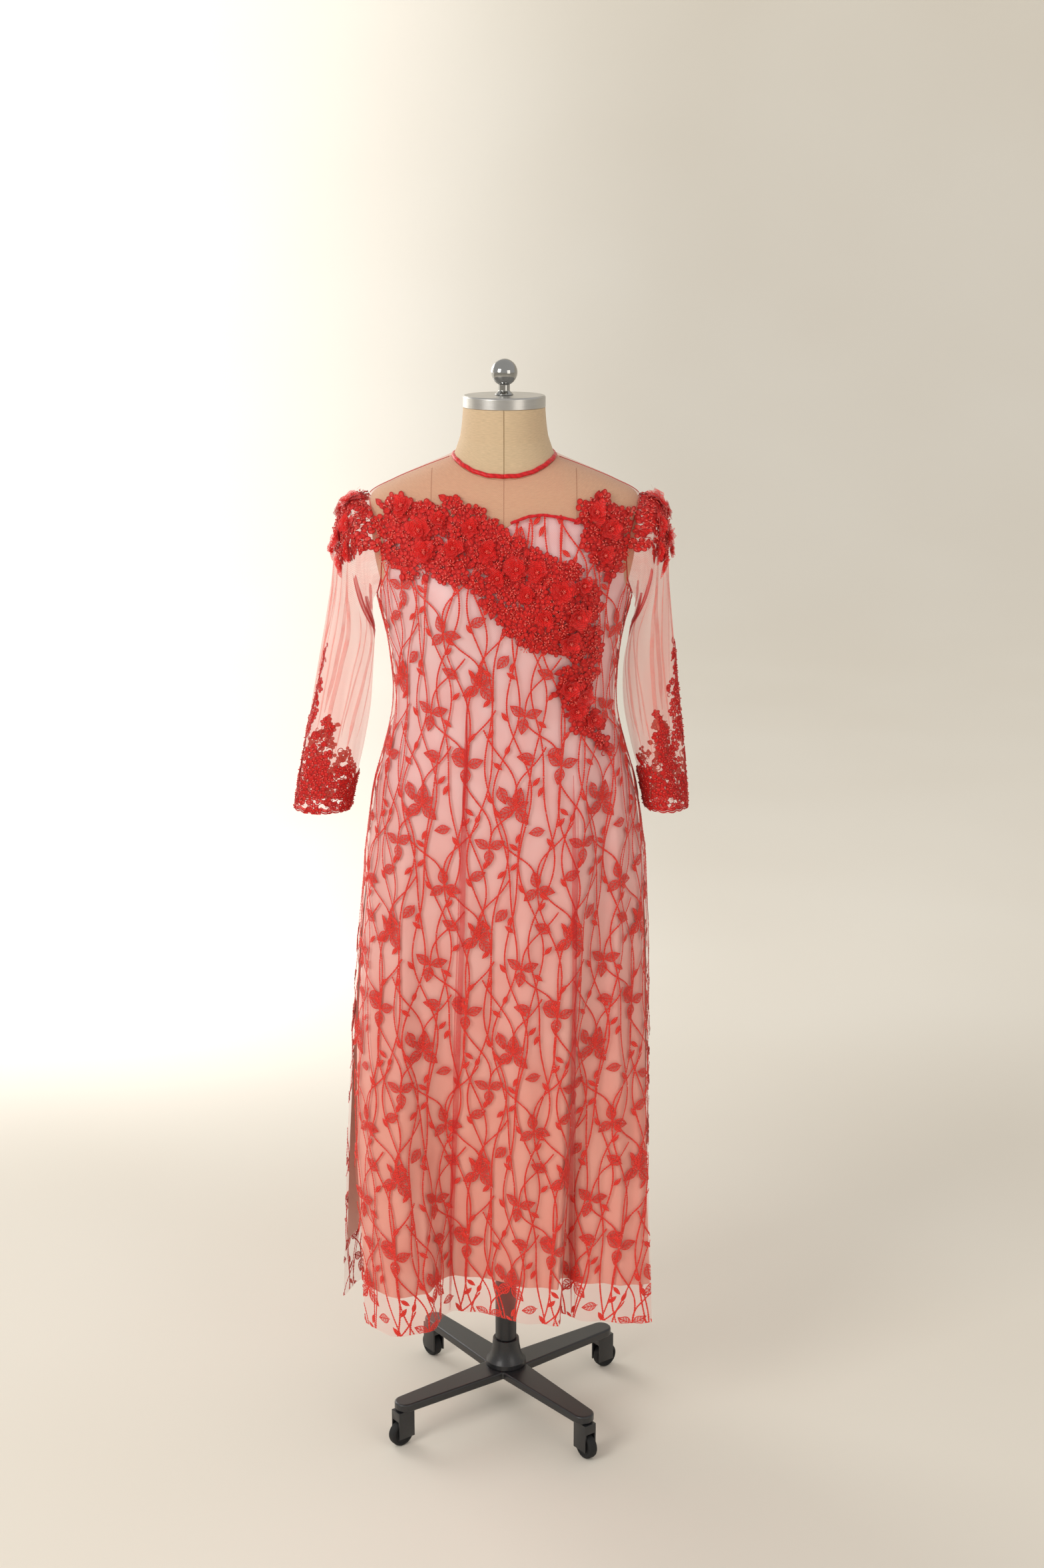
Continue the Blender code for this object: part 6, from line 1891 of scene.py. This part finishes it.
def turned_piece(name, profile, body, slot, material, node, steps=72, place=None):
    """A turned piece: a profile of radius and height spun round its axis and closed at its poles."""
    shape = bmesh.new()
    verts = [shape.verts.new((r, 0, z)) for r, z in profile]
    edges = [shape.edges.new(pair) for pair in zip(verts, verts[1:])]
    bmesh.ops.spin(shape, geom=verts + edges, cent=(0, 0, 0), axis=(0, 0, 1), angle=math.tau, steps=steps,
                   use_merge=True)
    bmesh.ops.remove_doubles(shape, verts=shape.verts, dist=0.00001)
    bmesh.ops.recalc_face_normals(shape, faces=shape.faces)
    bmesh.ops.transform(shape, matrix=place or Matrix.Translation((AXIS_X, AXIS_Y, 0)), verts=shape.verts)
    mesh = bpy.data.meshes.new(name)
    shape.to_mesh(mesh)
    shape.free()
    made = link(name, mesh, finish(material))
    round_edges(made, 0.0006)
    finish_piece(made, body, slot, node)


def leg_angle(k):
    return math.radians(LEG_FIRST_ANGLE + k * 360 / LEG_COUNT)


class TUNIC_OT_dress_form(Operator):
    """Makes the linen cover of the form, with its seams, and the metal neck cap and ball"""

    bl_idname = "tunic.dress_form"
    bl_label = "Dress Form"

    def execute(self, context):
        made = grid_object("linen_form", *FORM_GRID, form_place, finish("linen"))
        reworked(made.data, close)
        finish_piece(made, "stand", "linen", "dress_form")
        batch = Batch()
        t = np.linspace(0.0, 0.999, 260)
        for s in (0.5, 0.0):
            rope(batch, form_place(np.full(len(t), s), t), 0.0005, 5)
        quarter = np.linspace(0.5, 0.75, 90)
        low = t[t < PRINCESS_TOP]
        rows = [np.interp(PRINCESS_X, form_place(quarter, np.full(90, one))[:, 0], quarter) for one in low]
        for side in (-1, 1):
            rope(batch, form_place(0.5 + side * (np.array(rows) - 0.5), low), 0.0005, 5)
        rope(batch, form_place(np.linspace(0, 1, 181), np.full(181, NECK_SEAM)), 0.0006, 5, closed=True)
        finish_piece(rolled("linen_seams", batch, "seam"), "stand", "linen")
        low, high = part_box("neck_cap")
        radius = (high.x - low.x) / 2
        profile = ((0, high.z), (radius - 0.002, high.z), (radius, high.z - 0.002), (radius, low.z),
                   (0, low.z))
        turned_piece("steel_cap", profile, "stand", "steel", "brushed_steel", "neck_cap", 96)
        low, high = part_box("finial")
        ball = (high.x - low.x) / 2
        turn = np.linspace(0, math.pi - math.asin(FINIAL_NECK / ball), 28)
        profile = [(ball * math.sin(a), high.z - ball + ball * math.cos(a)) for a in turn]
        profile += [(FINIAL_NECK, low.z + 0.006), (0.0105, low.z + 0.004), (0.0136, low.z + 0.0012),
                    (0.0136, low.z), (0, low.z)]
        turned_piece("chrome_ball", profile, "stand", "steel", "chrome", "finial", 64)
        return {"FINISHED"}


class TUNIC_OT_stand(Operator):
    """Makes the pole, its collar, the four-legged base and the casters"""

    bl_idname = "tunic.stand"
    bl_label = "Stand"

    def execute(self, context):
        for node, name, material in (
                ("pole", "chrome_pole", "chrome"), ("pole_tube", "enamel_tube", "enamel"),
                ("height_collar", "enamel_collar", "enamel"), ("form_flange", "enamel_flange", "enamel")):
            low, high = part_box(node)
            radius = (high.x - low.x) / 2
            slot = "steel" if material == "chrome" else "iron"
            profile = ((0, high.z), (radius, high.z), (radius, low.z), (0, low.z))
            turned_piece(name, profile, "stand", slot, material, node)
        low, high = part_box("pole_socket")
        wide = (high.x - low.x) / 2
        profile = ((0, high.z), (0.021, high.z), (0.022, high.z - 0.012), (0.025, low.z + 0.018),
                   (wide, low.z + 0.008), (wide, low.z), (0, low.z))
        turned_piece("enamel_socket", profile, "stand", "iron", "enamel", "pole_socket")
        self.base()
        for k in range(LEG_COUNT):
            copied("caster_fork_%d" % (k + 1), "swivel_%d" % (k + 1), "iron", "enamel", 0.0009)
            self.wheel(k)
        return {"FINISHED"}

    def base(self):
        """A cross of four tapered legs with round ends, from an outline that is pushed up."""
        low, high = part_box("stand_base")
        shape = bmesh.new()
        outline = []
        for k in range(LEG_COUNT):
            along = Vector((math.cos(leg_angle(k)), math.sin(leg_angle(k)), 0))
            side = Vector((-along.y, along.x, 0))
            outline.append((along - side) * LEG_ROOT_HALF)
            for turn in np.linspace(-math.pi / 2, math.pi / 2, 13):
                outline.append(along * (LEG_REACH + LEG_TIP_HALF * math.cos(turn))
                               + side * LEG_TIP_HALF * math.sin(turn))
        offset = Vector((AXIS_X, AXIS_Y, low.z))
        face = shape.faces.new([shape.verts.new(p + offset) for p in outline])
        grown = bmesh.ops.extrude_face_region(shape, geom=[face])
        moved = [v for v in grown["geom"] if isinstance(v, bmesh.types.BMVert)]
        bmesh.ops.translate(shape, vec=(0, 0, high.z - low.z), verts=moved)
        bmesh.ops.recalc_face_normals(shape, faces=shape.faces)
        mesh = bpy.data.meshes.new("enamel_base")
        shape.to_mesh(mesh)
        shape.free()
        made = link("enamel_base", mesh, finish("enamel"))
        round_edges(made, 0.0032, 3)
        finish_piece(made, "stand", "iron", "stand_base")

    def wheel(self, k):
        """A moulded wheel with a rounded tread and a dished face."""
        low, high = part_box("caster_wheel_%d" % (k + 1))
        hub = (Matrix.Translation((low + high) / 2) @ Matrix.Rotation(leg_angle(k), 4, "Z")
               @ Matrix.Rotation(math.pi / 2, 4, "X"))
        half, rim, bore = WHEEL_HALF_WIDTH, WHEEL_RADIUS, WHEEL_BORE
        side = ((bore, half), (0.0075, half), (0.0085, half - 0.0014), (rim - 0.006, half - 0.0014),
                (rim - 0.005, half), (rim - 0.002, half - 0.0004), (rim - 0.0005, half - 0.0020),
                (rim, half - 0.004))
        profile = side + tuple((r, -z) for r, z in reversed(side)) + (side[0],)
        turned_piece("rubber_wheel_%d" % (k + 1), profile, "wheel_%d" % (k + 1), "rubber", "rubber",
                     "caster_wheel_%d" % (k + 1), 64, hub)


class TUNIC_OT_stage(Operator):
    """Makes the floor, the backdrop, the lights and the camera"""

    bl_idname = "tunic.stage"
    bl_label = "Stage"

    def execute(self, context):
        scene = context.scene
        scene.view_settings.view_transform = "Standard"
        lens = bpy.data.cameras.new("camera")
        lens.lens = LENS_MM
        lens.sensor_width = SENSOR_MM
        camera = bpy.data.objects.new("camera", lens)
        camera.location = CAMERA_PLACE
        camera.rotation_euler = (math.radians(CAMERA_TILT), 0, 0)
        scene.collection.objects.link(camera)
        scene.camera = camera
        grid_object("backdrop", 4, 300, self.sweep, self.paper())
        world = bpy.data.worlds.new("studio")
        world.use_nodes = True
        sky = world.node_tree.nodes["Background"]
        sky.inputs["Color"].default_value = SKY_COLOUR
        sky.inputs["Strength"].default_value = SKY_STRENGTH
        scene.world = world
        for name, place, aim, size, energy, colour in LIGHTS:
            data = bpy.data.lights.new(name, "AREA")
            data.size = size
            data.energy = energy
            data.color = colour
            lamp = bpy.data.objects.new(name, data)
            lamp.location = place
            lamp.rotation_euler = (Vector(aim) - Vector(place)).to_track_quat("-Z", "Y").to_euler()
            scene.collection.objects.link(lamp)
        return {"FINISHED"}

    def sweep(self, s, t):
        """A paper sweep: floor, a wide bend and the wall."""
        x = (s - 0.5) * SWEEP_WIDE
        run = t * SWEEP_LENGTH + SWEEP_FRONT_Y
        radius, wall = SWEEP_RADIUS, SWEEP_WALL_Y
        bend = np.clip((run - wall) / radius, 0, math.pi / 2)
        past = np.clip(run - wall - radius * math.pi / 2, 0, None)
        y = np.where(run < wall, run, wall + radius * np.sin(bend))
        return np.stack((x, y, radius * (1 - np.cos(bend)) + past), axis=-1)

    def paper(self):
        """Matt backdrop paper with painted light: an emission glow on its left stands in for a window's
        light.
        """
        made, tree, shader = new_material("backdrop_paper", Roughness=0.9)
        place = coordinates(tree, "Object")
        axes = add_node(tree, "SeparateXYZ", None, {"Vector": place})
        tint = ramp(tree, noise(tree, place, 1.2, 1.0), (0.3, srgb("E2DBCE")), (0.7, srgb("E5DFD3")))
        tree.links.new(tint, shader.inputs["Base Color"])
        # Painted light: emission that grows towards the left and the back of the paper
        depth = maths(tree, "ADD", axes.outputs["Y"], GLOW_DEPTH)
        slant = maths(tree, "DIVIDE", axes.outputs["X"], depth)
        glow = ranged(tree, slant, 0.107, -0.214, 0.11, 0.70, "SMOOTHERSTEP")
        far = ranged(tree, axes.outputs["Y"], 0.6, 2.4, curve="SMOOTHERSTEP")
        tree.links.new(maths(tree, "MULTIPLY", glow, far), shader.inputs["Emission Strength"])
        shader.inputs["Emission Color"].default_value = (1.0, 0.97, 0.90, 1)
        return made


OPERATORS = (
    TUNIC_OT_stage,
    TUNIC_OT_dress_form,
    TUNIC_OT_stand,
    TUNIC_OT_body_cloth,
    TUNIC_OT_embroidery,
    TUNIC_OT_sleeves,
    TUNIC_OT_cuffs,
    TUNIC_OT_body_lace,
    TUNIC_OT_trim,
)


class TUNIC_PT_panel(Panel):
    """Lists the tunic's sizes, colours and pieces in the sidebar"""

    bl_idname = "TUNIC_PT_panel"
    bl_label = "Lace Tunic"
    bl_space_type = "VIEW_3D"
    bl_region_type = "UI"
    bl_category = "Tunic"

    def draw(self, context):
        for group in (context.scene.tunic_colours, context.scene.tunic_sizes):
            for name in group.__annotations__:
                self.layout.prop(group, name)
        for operator in OPERATORS:
            self.layout.operator(operator.bl_idname)


CLASSES = (TunicColours, TunicSizes, *OPERATORS, TUNIC_PT_panel)


def register():
    for one in CLASSES:
        bpy.utils.register_class(one)
    bpy.types.Scene.tunic_colours = PointerProperty(type=TunicColours)
    bpy.types.Scene.tunic_sizes = PointerProperty(type=TunicSizes)


def unregister():
    del bpy.types.Scene.tunic_sizes
    del bpy.types.Scene.tunic_colours
    for one in reversed(CLASSES):
        bpy.utils.unregister_class(one)


def main():
    register()
    bpy.ops.tunic.stage()
    bpy.ops.tunic.dress_form()
    bpy.ops.tunic.stand()
    bpy.ops.tunic.body_cloth()
    bpy.ops.tunic.embroidery()
    bpy.ops.tunic.sleeves()
    bpy.ops.tunic.cuffs()
    bpy.ops.tunic.body_lace()
    bpy.ops.tunic.trim()


if __name__ == "__main__":
    main()
